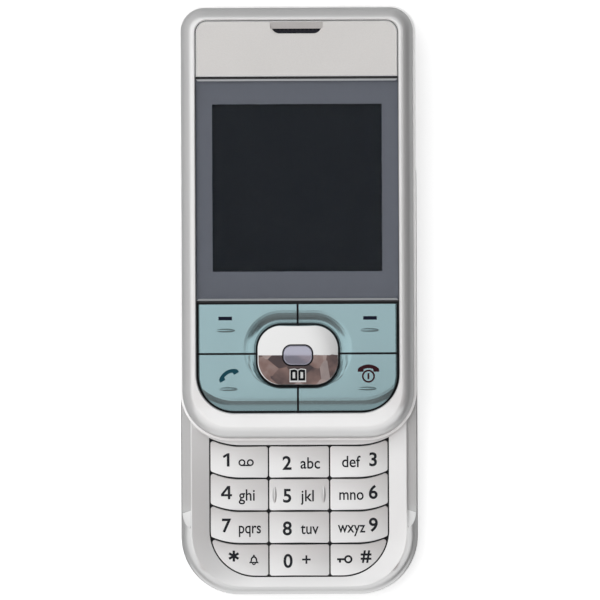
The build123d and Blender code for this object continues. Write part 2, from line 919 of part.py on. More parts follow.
def charging_socket():
    """Sheet shell with a contact tongue, open at the phone's bottom end."""
    half = socket_width / 2
    near = base_bottom + socket_setback
    far = near + socket_depth
    low = base_seam - socket_height
    shell = block(-half, half, near, far, low, base_seam)
    shell -= block(-half + socket_sheet, half - socket_sheet, near - cut_overrun, far - socket_floor,
                   low + socket_sheet, base_seam - socket_sheet)
    middle = (low + base_seam) / 2
    tongue_half = half - socket_sheet - socket_tongue_margin
    tongue = block(-tongue_half, tongue_half, near + socket_tongue_margin, far,
                   middle - socket_tongue / 2, middle + socket_tongue / 2)
    return shell + tongue


def base_screws():
    """Housing screws, driven from the back into the front shell."""
    screws = []
    for x, y in base_screw_places():
        head_top = cover_thickness + screw_head_height
        head = post(x, y, screw_head, cover_thickness, head_top)
        head -= post(x, y, screw_shank / 2, 0, cover_thickness + screw_head_height / 2)
        screws.append(head + post(x, y, screw_shank, head_top, base_seam + base_screw_grip))
    return Compound(children=screws)


# Keys of the base


def key_mat(outline, floor, low, high, ceiling, stems, openings):
    """Rubber web with a hole round each stem, clamped by its rim between board and shell."""
    mat = prism(outline(-mat_border), low, high)
    foot = outline(-mat_border) - outline(mat_rim - mat_border)
    mat += prism(foot, floor, low)
    mat += prism(outline(-mat_border) - outline(0), high, ceiling)
    for x, y in stems:
        mat -= post(x, y, key_stem_radius + stem_clear, floor, ceiling)
    for opening in openings:
        mat -= prism(opening, floor, ceiling)
    return mat


def dome_layer(outline, floor, stems):
    """Film with a snap dome under each stem."""
    sheet = prism(outline, floor, floor + dome_sheet)
    ball_radius = (dome_radius ** 2 + dome_height ** 2) / (2 * dome_height)
    for x, y in stems:
        ball = Pos(x, y, floor + dome_sheet + dome_height - ball_radius) * Sphere(ball_radius)
        sheet += ball & post(x, y, dome_radius, floor, floor + dome_sheet + dome_height)
    return sheet


def number_key_mat():
    stems = [number_key_centre(column, row) for _, column, row in number_key_places()]
    return key_mat(keypad_outline, board_top, mat_low, mat_top, keypad_ceiling, stems, [])


def number_dome_sheet():
    stems = [number_key_centre(column, row) for _, column, row in number_key_places()]
    outline = keypad_outline(mat_rim - mat_border + dome_sheet_margin)
    return dome_layer(outline, board_top, stems)


def corner_edges(solid):
    """Upright edges where two side walls meet at an angle."""
    found = []
    for edge in solid.edges().filter_by(Axis.Z):
        walls = [face for face in solid.faces() if any(edge.is_same(other) for other in face.edges())]
        first, second = (wall.normal_at(edge @ 0.5) for wall in walls)
        if first.get_angle(second) > key_corner_degrees:
            found.append(edge)
    return found


def touch_bump(x, y, top, turn):
    """A low lens-shaped bump for finding a key by touch: the crest of a spindle."""
    belly = (bump_width ** 2 / 4 + bump_height ** 2) / (2 * bump_height)
    bow = (bump_length ** 2 / 4 + bump_height ** 2) / (2 * bump_height)
    tip = sqrt(2 * bow * belly - belly ** 2)
    half = make_face([ThreePointArc((-tip, 0), (0, belly), (tip, 0)), Line((tip, 0), (-tip, 0))])
    spindle = Rot(0, 0, turn) * revolve(half, axis=Axis.X)
    room = block(x - bump_length, x + bump_length, y - bump_length, y + bump_length,
                 top - bump_root, top + cut_overrun)
    return Pos(x, y, top + bump_height - belly) * spindle & room


def key_saddle():
    """A waisted roller whose top is a key's face: crowned across, hollow along, level at its middle."""
    end = row_pitch
    rim = key_crown_radius + end ** 2 / (2 * key_hollow_radius)
    hollow = ThreePointArc((-end, rim), (0, key_crown_radius), (end, rim))
    side = make_face([hollow, Polyline(hollow @ 1, (end, 0), (-end, 0), hollow @ 0)])
    roller = Rot(0, 0, 90) * revolve(side, axis=Axis.X)
    return Pos(0, 0, -key_crown_radius) * roller


def number_key(column, row):
    """One number key: a softly saddled cap with rounded edges over its stem."""
    left, right = column_edges()[column]
    high = keypad_top - row * row_pitch
    low = high - row_pitch
    band = row_band(high - key_gap / 2, low + key_gap / 2, keypad_width / 2)
    if row == 3:
        band = row_band(high - key_gap / 2, low - row_pitch, keypad_width / 2)
    span = Pos((left + right) / 2, low) * Rectangle(right - left - key_gap, 4 * row_pitch)
    cap = prism(keypad_outline(key_gap / 2) & band & span, key_low, key_top)
    cap = fillet(corner_edges(cap), key_corner)
    cap = fillet(cap.faces().sort_by(Axis.Z)[-1].edges(), key_edge)
    x, y = number_key_centre(column, row)
    cap = cap & Pos(x, y, key_middle) * key_saddle()
    if (column, row) == (1, 1):
        reach = centre_column / 2 - bump_inset
        bump_foot = key_middle - reach ** 2 / (2 * key_crown_radius)
        cap += touch_bump(x - reach, y, bump_foot, 90) + touch_bump(x + reach, y, bump_foot, 90)
    return cap + post(x, y, key_stem_radius, stem_end, key_low)


# Slide


def slide_rail_plate():
    """Folded sheet in the base with a C-channel along each side and the spring's fixed pivot."""
    plate = block(-rail_half, rail_half, rail_bottom, rail_top, pocket_floor, web_top)
    wall = block(channel_half, rail_half, rail_bottom, rail_top, pocket_floor, rail_crest)
    lip = block(lip_half, rail_half, rail_bottom, rail_top, rail_crest - rail_sheet, rail_crest)
    plate += both_sides(wall + lip)
    plate -= flex_slot_cut(flex_base_y, pocket_floor - cut_overrun, web_top + cut_overrun)
    for x, y in rail_screw_places():
        plate -= post(x, y, small_head + screw_fit, pocket_floor + rail_sheet / 2, web_top + cut_overrun)
        plate -= post(x, y, small_shank + screw_fit, pocket_floor - cut_overrun, web_top)
    return plate + post(spring_base_x, spring_base_y, pivot_radius, pocket_floor, web_top + pivot_height)


def rail_screws():
    """Thin-headed screws that hold the rail plate, flush with its web."""
    screws = []
    for x, y in rail_screw_places():
        head = post(x, y, small_head, pocket_floor + rail_sheet / 2, web_top)
        screws.append(head + post(x, y, small_shank, pocket_ceiling, pocket_floor + rail_sheet / 2))
    return Compound(children=screws)


def sled_plate():
    """Hat-shaped sheet under the display half, with flanges that run in the rails."""
    crown = block(-sled_wall_half, sled_wall_half, sled_bottom, sled_top,
                  slider_back - sled_sheet, slider_back)
    wall = block(sled_wall_half - sled_sheet, sled_wall_half, sled_bottom, sled_top,
                 sled_flange_low, slider_back)
    flange = block(sled_wall_half - sled_sheet, sled_flange_half, sled_bottom, sled_top,
                   sled_flange_low, sled_flange_low + sled_sheet)
    sled = crown + both_sides(wall + flange)
    sled -= flex_slot_cut(flex_slider_y, sled_flange_low, slider_back + cut_overrun)
    for x, y in sled_screw_places():
        sled -= post(x, y, small_shank + screw_fit, sled_flange_low, slider_back + cut_overrun)
    pivot_low = slider_back - sled_sheet - pivot_height
    return sled + post(spring_sled_x, spring_sled_y, pivot_radius, pivot_low, slider_back - sled_sheet)


def sled_shoes():
    """Four low-friction shoes clipped over the sled's flanges."""
    inner = channel_half - shoe_side_gap - shoe_width
    outer = channel_half - shoe_side_gap
    shoes = []
    for near in (sled_bottom, sled_top - shoe_length):
        shoe = block(inner, outer, near, near + shoe_length,
                     web_top + shoe_face_gap, rail_crest - rail_sheet - shoe_face_gap)
        shoe -= block(inner - cut_overrun, sled_flange_half,
                      near - cut_overrun, near + shoe_length + cut_overrun,
                      sled_flange_low, sled_flange_low + sled_sheet)
        shoes += [shoe, mirror(shoe, about=Plane.YZ)]
    return Compound(children=shoes)


def sled_screws():
    """Screws from the sled up into the display half's rear cover."""
    screws = []
    for x, y in sled_screw_places():
        head_top = slider_back - sled_sheet
        head = post(x, y, small_head, head_top - small_head_height, head_top)
        screws.append(head + post(x, y, small_shank, head_top, slider_board_low))
    return Compound(children=screws)


def side_guide():
    """Guide bar on the right that runs in the base's side ledge."""
    inner = ledge_half + guide_side_gap
    return block(inner, inner + guide_width, guide_bottom, guide_top, guide_low, slider_back)


def slide_spring():
    """Over-centre wire spring: an eye on each pivot and a bend between two legs."""
    start, coil, end = spring_frame()
    radius = pivot_radius + spring_clear + spring_wire / 2
    first = degrees(atan2(coil.Y - start.Y, coil.X - start.X))
    second = degrees(atan2(end.Y - coil.Y, end.X - coil.X))
    turn = (second - first) % 360
    quarter = 90

    def side(centre, heading):
        angle = radians(heading - quarter)
        return (centre.X + radius * cos(angle), centre.Y + radius * sin(angle))

    def around(centre, heading, size):
        return CenterArc((centre.X, centre.Y), radius, heading - quarter, size)

    wire = Wire([
        around(start, first - spring_eye_degrees, spring_eye_degrees),
        Line(side(start, first), side(coil, first)),
        around(coil, first, turn),
        Line(side(coil, second), side(end, second)),
        around(end, second, spring_eye_degrees),
    ])
    section = Plane(wire @ 0, z_dir=wire % 0) * Circle(spring_wire / 2)
    return Pos(0, 0, spring_height) * sweep(section, path=wire)


def slide_flex():
    """Flexible circuit: up out of the base, back round a rolling bend and into the display half."""
    low = web_top + flex_floor_gap + flex_thickness / 2
    high = low + flex_rise
    bend = flex_base_y - flex_loop
    path = FilletPolyline(
        (flex_base_y, board_top + connector_height),
        (flex_base_y, low),
        (bend, low),
        (bend, high),
        (flex_slider_y, high),
        (flex_slider_y, slider_board_low - slider_connector_height),
        radius=flex_bend_radius,
    )
    strip = trace(path, line_width=flex_thickness)
    return extrude(Plane.YZ.offset(flex_x - flex_width / 2) * strip, amount=flex_width)


# Display half


def slider_rear_cover():
    """Back tray of the display half."""
    tray = prism(slider_outline(), slider_back, slider_seam)
    tray = fillet(tray.faces().sort_by(Axis.Z)[0].edges(), slider_back_round)
    tray -= prism(slider_outline(rim_step + slider_wall), slider_floor, slider_seam + cut_overrun)
    tray -= flex_slot_cut(flex_slider_y, slider_back - cut_overrun, slider_floor + cut_overrun)
    for x, y in sled_screw_places():
        tray += post(x, y, stand_radius, slider_floor, slider_board_low)
        tray -= post(x, y, small_shank + screw_fit, slider_back - cut_overrun, slider_board_low + cut_overrun)
    for x, y in slider_screw_places():
        tray += post(x, y, boss_radius, slider_floor, slider_seam)
        tray -= post(x, y, screw_shank + screw_fit, slider_back - cut_overrun, slider_seam + cut_overrun)
        tray -= post(x, y, screw_head + screw_fit, slider_back - cut_overrun, slider_back + screw_head_height)
    return tray


def slider_screws():
    """Screws from the rear cover into the bezel."""
    screws = []
    for x, y in slider_screw_places():
        head_top = slider_back + screw_head_height
        head = post(x, y, screw_head, slider_back + seat_gap, head_top)
        head -= post(x, y, screw_shank / 2, slider_back, slider_back + screw_head_height / 2)
        screws.append(head + post(x, y, screw_shank, head_top, slider_seam + base_screw_grip))
    return Compound(children=screws)


def slide_magnet():
    """Magnet glued in the rear cover for the open and closed switch."""
    x = magnet_x
    y = slider_bottom + magnet_rise
    return block(x - magnet_width / 2, x + magnet_width / 2, y - magnet_length / 2, y + magnet_length / 2,
                 slider_floor, slider_floor + magnet_height)


def slider_board():
    """Display half's circuit board with the flexible circuit's connector under it."""
    board = prism(slider_outline(rim_step + slider_wall + board_clear), slider_board_low, slider_board_top)
    below = slider_board_low - cut_overrun
    above = slider_board_top + cut_overrun
    for x, y in slider_screw_places():
        board -= post(x, y, boss_radius + boss_clear, below, above)
    for x, y in sled_screw_places():
        board -= post(x, y, small_shank + screw_fit, below, above)
    half = connector_width / 2
    connector = block(flex_x - half, flex_x + half, flex_slider_y - connector_length / 2,
                      flex_slider_y + connector_length / 2,
                      slider_board_low - slider_connector_height, slider_board_low)
    return Compound(children=[board, connector])


def slider_bezel():
    """Front frame of the display half: rolled outer edge, front opening and the shelf behind it."""
    frame = prism(slider_outline(rim_step), slider_seam, slider_face)
    frame = fillet(frame.faces().sort_by(Axis.Z)[-1].edges(), slider_face_round)
    frame -= prism(slider_outline(rim_step + slider_wall), slider_seam - cut_overrun, shelf_low)
    frame -= prism(opening_outline(), shelf_top, slider_face + cut_overrun)
    lip = frame.faces().sort_by(Axis.Z)[-1].inner_wires()[0].edges()
    frame = fillet(lip, opening_edge_round)
    frame -= prism(fkey_outline(), shelf_low - cut_overrun, shelf_top + cut_overrun)
    half = screen_width / 2 + shelf_margin
    frame -= block(-half, half, screen_bottom - shelf_margin, screen_top + shelf_margin,
                   shelf_low - cut_overrun, shelf_top + cut_overrun)
    frame -= prism(grille_outline(seat_gap), shelf_top - grille_sheet, shelf_top + cut_overrun)
    frame -= prism(grille_outline(-grille_margin), shelf_low - cut_overrun, shelf_top + cut_overrun)
    for x, y in slider_screw_places():
        frame += post(x, y, boss_radius, slider_seam, shelf_low)
        hole_top = slider_seam + base_screw_grip + seat_gap
        frame -= post(x, y, screw_shank + screw_fit, slider_seam - cut_overrun, hole_top)
    return frame


def ear_outline(inset=0):
    """Bowl-shaped outline of the earpiece recess."""
    return shield(ear_width, ear_top, ear_bottom, 0, ear_corner, inset)


def ear_slot_outline():
    """The open slot in the lower part of the recess."""
    strip = Pos(0, ear_slot_top - ear_length / 2) * Rectangle(ear_width, ear_length)
    return ear_outline(ear_step) & strip


def grille_outline(grow=0):
    """Rectangle that covers the earpiece slot."""
    high = ear_slot_top + grille_margin + grow
    low = ear_bottom - grille_margin - grow
    return Pos(0, (high + low) / 2) * Rectangle(ear_width + 2 * grow, high - low)


def earpiece_plate():
    """Top plate with the scooped recess and its slot."""
    face = slider_face - plate_sink
    plate = prism(opening_part(opening_top, plate_bottom, seat_gap), shelf_top, face)
    plate = chamfer(plate.faces().sort_by(Axis.Z)[-1].edges(), plate_edge)
    ramp = make_face(Polyline(
        (ear_top, face),
        (ear_slot_top, face - ear_depth),
        (ear_bottom - cut_overrun, face - ear_depth),
        (ear_bottom - cut_overrun, face + cut_overrun),
        (ear_top, face + cut_overrun),
        close=True,
    ))
    wedge = extrude(Plane.YZ.offset(-ear_width) * ramp, amount=2 * ear_width)
    plate -= wedge & prism(ear_outline(), shelf_top, face + cut_overrun)
    return plate - prism(ear_slot_outline(), shelf_top - cut_overrun, face + cut_overrun)


def earpiece_grille():
    """Perforated sheet behind the earpiece slot."""
    sheet = prism(grille_outline(), shelf_top - grille_sheet, shelf_top)
    middle = (ear_slot_top + ear_bottom) / 2
    for row in range(grille_rows):
        for column in range(grille_columns):
            x = (column - (grille_columns - 1) / 2) * grille_pitch
            y = middle + (row - (grille_rows - 1) / 2) * grille_pitch
            sheet -= post(x, y, grille_hole, shelf_low, shelf_top + cut_overrun)
    return sheet


def earpiece_speaker():
    """Flat capsule under the shelf, with a raised magnet under it."""
    y = opening_top - earpiece_length / 2
    can = prism(rounded(earpiece_width, earpiece_length, earpiece_corner, 0, y),
                shelf_low - earpiece_height / 2, shelf_low)
    magnet = prism(rounded(earpiece_width / 2, earpiece_length / 2, earpiece_corner / 2, 0, y),
                   shelf_low - earpiece_height, shelf_low)
    return can + magnet


def display_window():
    """Clear lens over the display, bevelled all round."""
    lens = prism(opening_part(window_top, window_bottom, seat_gap), window_low, window_top_face)
    return chamfer(lens.faces().sort_by(Axis.Z)[-1].edges(), window_edge)


def screen_outline():
    return Pos(0, (screen_top + screen_bottom) / 2) * Rectangle(screen_width, screen_length)


def window_mask():
    """Printed dark film behind the lens, open over the screen."""
    film = opening_part(window_top, window_bottom, seat_gap) - screen_outline()
    return prism(film, shelf_top, window_low)


def panel_block(grow, low, high):
    half = screen_width / 2 + panel_side_margin + grow
    near = screen_bottom - panel_foot - grow
    far = screen_top + panel_top_margin + grow
    return block(-half, half, near, far, low, high)


def display_panel():
    """Glass display panel, stepped down at the foot where its driver sits."""
    panel = panel_block(0, panel_low, panel_top)
    edge = screen_bottom - panel_foot / 2
    return panel - block(-body_width, body_width, screen_bottom - 2 * panel_foot, edge,
                         (panel_low + panel_top) / 2, panel_top + cut_overrun)


def backlight_frame():
    """Moulded tray with the backlight, between the display board and the panel."""
    return panel_block(backlight_margin, slider_board_top, panel_low)


# Keys of the display half


def fkey_stems():
    return [fkey_centre(side, level) for _, side, level in fkey_sides()]


def function_key_mat():
    holes = [Pos(x, y) * Circle(nav_post_radius + stem_clear) for x, y in nav_post_places()]
    holes.append(Pos(0, nav_y) * Circle(select_stem_radius + stem_clear))
    return key_mat(fkey_outline, slider_board_top, fmat_low, fmat_top, shelf_low, fkey_stems(), holes)


def function_dome_sheet():
    stems = fkey_stems() + nav_post_places() + [(0, nav_y)]
    outline = fkey_outline(mat_rim - mat_border + dome_sheet_margin)
    return dome_layer(outline, slider_board_top, stems)


def fkey_roll():
    """Form whose lower end rolls down as the function keys do, wider and longer than they are."""
    steps = list(zip(fkey_roll_length_shares, fkey_roll_drop_shares))
    forms = [Pos(0, 0, fkey_top_face - drop * fkey_roll_drop)
             * shield(opening_width + 2 * cut_overrun, fkey_top + cut_overrun,
                      opening_bottom + length * fkey_roll_length, 0, opening_corner + cut_overrun)
             for length, drop in steps]
    crest = loft(forms, ruled=True)
    foot = fkey_top_face - max(fkey_roll_drop_shares) * fkey_roll_drop
    return crest + block(-opening_width, opening_width, opening_bottom - cut_overrun, fkey_top + cut_overrun,
                         fkey_low - cut_overrun, foot)


def dish_outline(share):
    """Outline of the dish at a share of its width: wide over the ring, narrow below it."""
    width = nav_width + 2 * (nav_gap + share * dish_side)
    length = nav_length + 2 * nav_gap + share * (dish_head + dish_foot)
    y = nav_y + share * (dish_head - dish_foot) / 2
    return rounded(width, length, nav_corner + nav_gap + share * dish_side, 0, y)


def fkey_field():
    """All four function keys as one slab: rolled lower end, dished round the navigation ring."""
    slab = prism(fkey_outline(fkey_side_gap), fkey_low, fkey_top_face)
    rim = slab.faces().sort_by(Axis.Z)[-1].edges()
    slab = fillet(rim.sort_by(Axis.Y)[:-1], fkey_round) & fkey_roll()
    dish = loft([
        Pos(0, 0, fkey_top_face - (1 - rise) * dish_depth) * dish_outline(width)
        for width, rise in zip(dish_width_shares, dish_rise_shares)
    ], ruled=True)
    return slab - dish - prism(nav_outline(nav_gap), fkey_low - cut_overrun, slider_face)


def function_key(field, side, level):
    """One quarter of the key field, with its touch bump and stem."""
    inner = side * fkey_gap / 2
    outer = side * opening_width
    near = fkey_split + level * fkey_gap / 2
    far = fkey_split + level * opening_width
    quarter = block(min(inner, outer), max(inner, outer), min(near, far), max(near, far),
                    fkey_low - cut_overrun, slider_face)
    x, y = fkey_centre(side, level)
    bump_x, bump_y = fkey_bump_place(side, level)
    cap = (field & quarter) + touch_bump(bump_x, bump_y, fkey_top_face, 0)
    return cap + post(x, y, key_stem_radius, fstem_end, fkey_low)


def select_outline(grow=0):
    return rounded(select_width + 2 * grow, select_length + 2 * grow, select_corner + grow, 0, nav_y)


def nav_ring():
    """Domed mirror ring that rocks four ways, with a post over each of its snap domes."""
    ring = prism(nav_outline(), nav_low, nav_top)
    ring = fillet(ring.faces().sort_by(Axis.Z)[-1].edges(), nav_edge)
    ring = ring & Pos(0, nav_y, nav_top - nav_dome_radius) * Sphere(nav_dome_radius)
    ring -= prism(select_outline(select_gap), nav_low - cut_overrun, nav_top + cut_overrun)
    for x, y in nav_post_places():
        ring += post(x, y, nav_post_radius, fstem_end, nav_low)
    return ring


def nav_carrier():
    """Rocker under the ring: round ridges on top for side tilt and below for up and down tilt."""
    plate = prism(rounded(carrier_width, carrier_length, carrier_corner, 0, nav_y), carrier_low, carrier_top)
    plate += Pos(0, nav_y, carrier_top) * Rot(90, 0, 0) * Cylinder(carrier_ridge, carrier_length)
    plate += Pos(0, nav_y, carrier_low) * Rot(0, 90, 0) * Cylinder(carrier_ridge, carrier_width)
    hole = select_outline(select_gap)
    return plate - prism(hole, carrier_low - cut_overrun, carrier_top + cut_overrun)


def select_key():
    """Middle key: a small pill on a round stem."""
    cap = prism(select_outline(), select_low, select_top)
    cap = fillet(cap.faces().sort_by(Axis.Z)[-1].edges(), select_edge)
    return cap + post(0, nav_y, select_stem_radius, fstem_end, select_low)


def build():
    """Every piece of the phone by the name of its node."""
    right_guide = side_guide()
    pieces = {
        "base_front_housing": base_front_housing(),
        "base_rear_housing": base_rear_housing(),
        "battery_cover": battery_cover(),
        "battery_pack": battery_pack(),
        "battery_contacts": battery_contacts(),
        "main_board": main_board(),
        "shield_cans": shield_cans(),
        "sim_holder": sim_holder(),
        "ringer_speaker": ringer_speaker(),
        "vibration_motor": vibration_motor(),
        "vibration_weight": vibration_weight(),
        "microphone": microphone(),
        "antenna": antenna(),
        "charging_socket": charging_socket(),
        "base_screws": base_screws(),
        "number_key_mat": number_key_mat(),
        "number_dome_sheet": number_dome_sheet(),
        "slide_rail_plate": slide_rail_plate(),
        "rail_screws": rail_screws(),
        "slide_spring": slide_spring(),
        "slide_flex": slide_flex(),
        "sled_plate": sled_plate(),
        "sled_shoes": sled_shoes(),
        "sled_screws": sled_screws(),
        "right_guide_rail": right_guide,
        "left_guide_rail": mirror(right_guide, about=Plane.YZ),
        "slider_rear_cover": slider_rear_cover(),
        "slider_screws": slider_screws(),
        "slide_magnet": slide_magnet(),
        "slider_board": slider_board(),
        "slider_bezel": slider_bezel(),
        "earpiece_plate": earpiece_plate(),
        "earpiece_grille": earpiece_grille(),
        "earpiece_speaker": earpiece_speaker(),
        "display_window": display_window(),
        "window_mask": window_mask(),
        "display_panel": display_panel(),
        "backlight_frame": backlight_frame(),
        "function_key_mat": function_key_mat(),
        "function_dome_sheet": function_dome_sheet(),
        "nav_ring": nav_ring(),
        "nav_carrier": nav_carrier(),
        "select_key": select_key(),
    }
    for name, column, row in number_key_places():
        pieces[name] = number_key(column, row)
    field = fkey_field()
    for name, side, level in fkey_sides():
        pieces[name] = function_key(field, side, level)
    return pieces


os.makedirs("parts", exist_ok=True)
for name, piece in build().items():
    export_step(piece, f"parts/{name}.step")
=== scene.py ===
import math

import bmesh
import bpy
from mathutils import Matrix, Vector
from mathutils.bvhtree import BVHTree


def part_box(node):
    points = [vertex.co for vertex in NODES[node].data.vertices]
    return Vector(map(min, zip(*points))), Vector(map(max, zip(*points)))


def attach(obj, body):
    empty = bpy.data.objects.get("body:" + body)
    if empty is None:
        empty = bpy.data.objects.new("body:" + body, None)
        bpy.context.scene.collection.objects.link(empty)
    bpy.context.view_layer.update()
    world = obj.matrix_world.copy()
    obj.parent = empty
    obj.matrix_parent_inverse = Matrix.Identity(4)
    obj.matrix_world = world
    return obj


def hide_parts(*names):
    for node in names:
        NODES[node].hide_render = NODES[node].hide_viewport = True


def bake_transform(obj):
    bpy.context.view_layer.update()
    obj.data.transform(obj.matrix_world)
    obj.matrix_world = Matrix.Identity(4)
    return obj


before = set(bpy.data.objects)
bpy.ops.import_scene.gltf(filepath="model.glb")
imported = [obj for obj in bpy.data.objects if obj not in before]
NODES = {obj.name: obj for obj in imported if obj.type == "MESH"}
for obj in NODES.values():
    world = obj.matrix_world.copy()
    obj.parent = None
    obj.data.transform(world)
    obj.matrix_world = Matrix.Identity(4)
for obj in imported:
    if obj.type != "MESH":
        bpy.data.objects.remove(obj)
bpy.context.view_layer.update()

bl_info = {
    "name": "Slide Phone Looks",
    "version": (1, 0, 0),
    "blender": (4, 5, 0),
    "location": "View3D > Sidebar > Slide Phone",
    "description": "Dresses the packed slide phone with finishes, legends and a studio",
    "category": "Object",
}

MM = 0.001

# Digit or sign of each number key, the letters beside it and their width in millimetres, row by row
LEGENDS = [
    ("key_1", "1", "", 0.0), ("key_2", "2", "abc", 3.85), ("key_3", "3", "def", 3.66),
    ("key_4", "4", "ghi", 3.17), ("key_5", "5", "jkl", 2.62), ("key_6", "6", "mno", 4.80),
    ("key_7", "7", "pqrs", 4.35), ("key_8", "8", "tuv", 3.52), ("key_9", "9", "wxyz", 5.41),
    ("key_star", "*", "", 0.0), ("key_0", "0", "", 0.0), ("key_hash", "#", "", 0.0),
]
MIDDLE_COLUMN = ("key_2", "key_5", "key_8", "key_0")

MADE = {}
DRESSED = set()


# Node groups


def node_at(tree, kind, x, y, **settings):
    """A node of a tree with its attributes and input values set."""
    node = tree.nodes.new(kind)
    node.location = (x, y)
    for name, value in settings.items():
        if name in node.inputs:
            node.inputs[name].default_value = value
        else:
            setattr(node, name, value)
    return node


def math_node(tree, operation, x, y, first, second, clamp=False):
    """A Math node between sockets or numbers; returns its output."""
    node = node_at(tree, "ShaderNodeMath", x, y, operation=operation, use_clamp=clamp)
    for socket, value in zip(node.inputs, (first, second)):
        if isinstance(value, float):
            socket.default_value = value
        else:
            tree.links.new(value, socket)
    return node.outputs[0]


def new_group(name, inputs, output):
    """An empty shader node group with named sockets, object coordinates and one output."""
    group = bpy.data.node_groups.new(name, "ShaderNodeTree")
    for label, kind, default in inputs:
        socket = group.interface.new_socket(name=label, in_out="INPUT", socket_type=kind)
        socket.default_value = default
    label, kind = output
    group.interface.new_socket(name=label, in_out="OUTPUT", socket_type=kind)
    source = node_at(group, "NodeGroupInput", -900, 0)
    place = node_at(group, "ShaderNodeTexCoord", -900, -300)
    result = node_at(group, "NodeGroupOutput", 700, 0)
    return group, source.outputs, place.outputs["Object"], result.inputs[label]


def noise_at(tree, x, y, place, scale, detail, roughness=0.5):
    """Noise at a place; its scale is a socket or a number."""
    noise = node_at(tree, "ShaderNodeTexNoise", x, y, Detail=detail, Roughness=roughness)
    tree.links.new(place, noise.inputs["Vector"])
    if isinstance(scale, float):
        noise.inputs["Scale"].default_value = scale
    else:
        tree.links.new(scale, noise.inputs["Scale"])
    return noise.outputs["Fac"]


def swing(tree, x, y, noise, amount):
    """Noise turned into a swing about zero."""
    centred = math_node(tree, "SUBTRACT", x, y, noise, 0.5)
    return math_node(tree, "MULTIPLY", x + 200, y, centred, amount)


def flake_group():
    """Paint colour with fine flakes and a slow drift of shade."""
    group, source, place, result = new_group(
        "paint_flakes",
        [("Color", "NodeSocketColor", (0.7, 0.7, 0.7, 1.0)), ("Flake Scale", "NodeSocketFloat", 9000.0),
         ("Flake Amount", "NodeSocketFloat", 0.05), ("Drift Amount", "NodeSocketFloat", 0.03)],
        ("Color", "NodeSocketColor"))
    flakes = noise_at(group, -650, -100, place, source["Flake Scale"], 1.0)
    drift = noise_at(group, -650, -350, place, 45.0, 2.0)
    fine = swing(group, -420, -100, flakes, source["Flake Amount"])
    slow = swing(group, -420, -350, drift, source["Drift Amount"])
    both = math_node(group, "ADD", 20, -200, fine, slow)
    total = math_node(group, "ADD", 220, -200, both, 1.0)
    shade = node_at(group, "ShaderNodeVectorMath", 450, 0, operation="SCALE")
    group.links.new(source["Color"], shade.inputs[0])
    group.links.new(total, shade.inputs["Scale"])
    group.links.new(shade.outputs[0], result)


def smudge_group():
    """Roughness with faint handling smudges."""
    group, source, place, result = new_group(
        "handling_smudges",
        [("Roughness", "NodeSocketFloat", 0.3), ("Smudge Scale", "NodeSocketFloat", 120.0),
         ("Smudge Amount", "NodeSocketFloat", 0.08)],
        ("Roughness", "NodeSocketFloat"))
    noise = noise_at(group, -650, -100, place, source["Smudge Scale"], 4.0, 0.6)
    change = swing(group, -420, -100, noise, source["Smudge Amount"])
    group.links.new(math_node(group, "ADD", 20, 0, source["Roughness"], change, clamp=True), result)


def brushed_group():
    """Fine lines drawn along one axis, as a height."""
    group, source, place, result = new_group(
        "brushed_lines", [("Stretch", "NodeSocketVector", (80.0, 5000.0, 5000.0))],
        ("Height", "NodeSocketFloat"))
    stretched = node_at(group, "ShaderNodeVectorMath", -650, -100, operation="MULTIPLY")
    group.links.new(place, stretched.inputs[0])
    group.links.new(source["Stretch"], stretched.inputs[1])
    group.links.new(noise_at(group, -420, -100, stretched.outputs[0], 1.0, 3.0, 0.65), result)


def grain_group():
    """Spark-eroded grain of moulded plastic and rubber, as a height."""
    group, source, place, result = new_group(
        "moulded_grain", [("Grain Scale", "NodeSocketFloat", 4000.0)], ("Height", "NodeSocketFloat"))
    cells = node_at(group, "ShaderNodeTexVoronoi", -650, -100)
    group.links.new(place, cells.inputs["Vector"])
    group.links.new(source["Grain Scale"], cells.inputs["Scale"])
    group.links.new(cells.outputs["Distance"], result)


def mottle_group():
    """Brown and grey patches, as chrome mirrors a dim room."""
    group, source, place, result = new_group(
        "room_mottle", [("Patch Scale", "NodeSocketFloat", 9.0)], ("Color", "NodeSocketColor"))
    patches = node_at(group, "ShaderNodeTexVoronoi", -650, 150)
    group.links.new(place, patches.inputs["Vector"])
    group.links.new(source["Patch Scale"], patches.inputs["Scale"])
    split = node_at(group, "ShaderNodeSeparateColor", -420, 150)
    group.links.new(patches.outputs["Color"], split.inputs[0])
    clouds = noise_at(group, -650, -150, place, source["Patch Scale"], 4.0)
    both = node_at(group, "ShaderNodeMix", -200, 0, data_type="FLOAT", Factor=0.5)
    group.links.new(split.outputs["Red"], both.inputs["A"])
    group.links.new(clouds, both.inputs["B"])
    ramp = node_at(group, "ShaderNodeValToRGB", 20, 0)
    shades = [(0.0, (0.05, 0.05, 0.06)), (0.35, (0.12, 0.09, 0.09)), (0.5, (0.30, 0.20, 0.18)),
              (0.65, (0.46, 0.37, 0.35)), (1.0, (0.16, 0.15, 0.16))]
    stops = ramp.color_ramp.elements
    while len(stops) < len(shades):
        stops.new(0.5)
    for stop, (position, shade) in zip(stops, shades):
        stop.position = position
        stop.color = (*shade, 1.0)
    group.links.new(both.outputs[0], ramp.inputs["Fac"])
    group.links.new(ramp.outputs["Color"], result)


GROUP_MAKERS = {"paint_flakes": flake_group, "handling_smudges": smudge_group,
                "brushed_lines": brushed_group, "moulded_grain": grain_group, "room_mottle": mottle_group}


def place_group(tree, name, x, y, **values):
    """A shared node group in a tree, built when it is first needed."""
    if name not in bpy.data.node_groups:
        GROUP_MAKERS[name]()
    node = node_at(tree, "ShaderNodeGroup", x, y, node_tree=bpy.data.node_groups[name])
    for label, value in values.items():
        node.inputs[label.replace("_", " ")].default_value = value
    return node


# Finishes


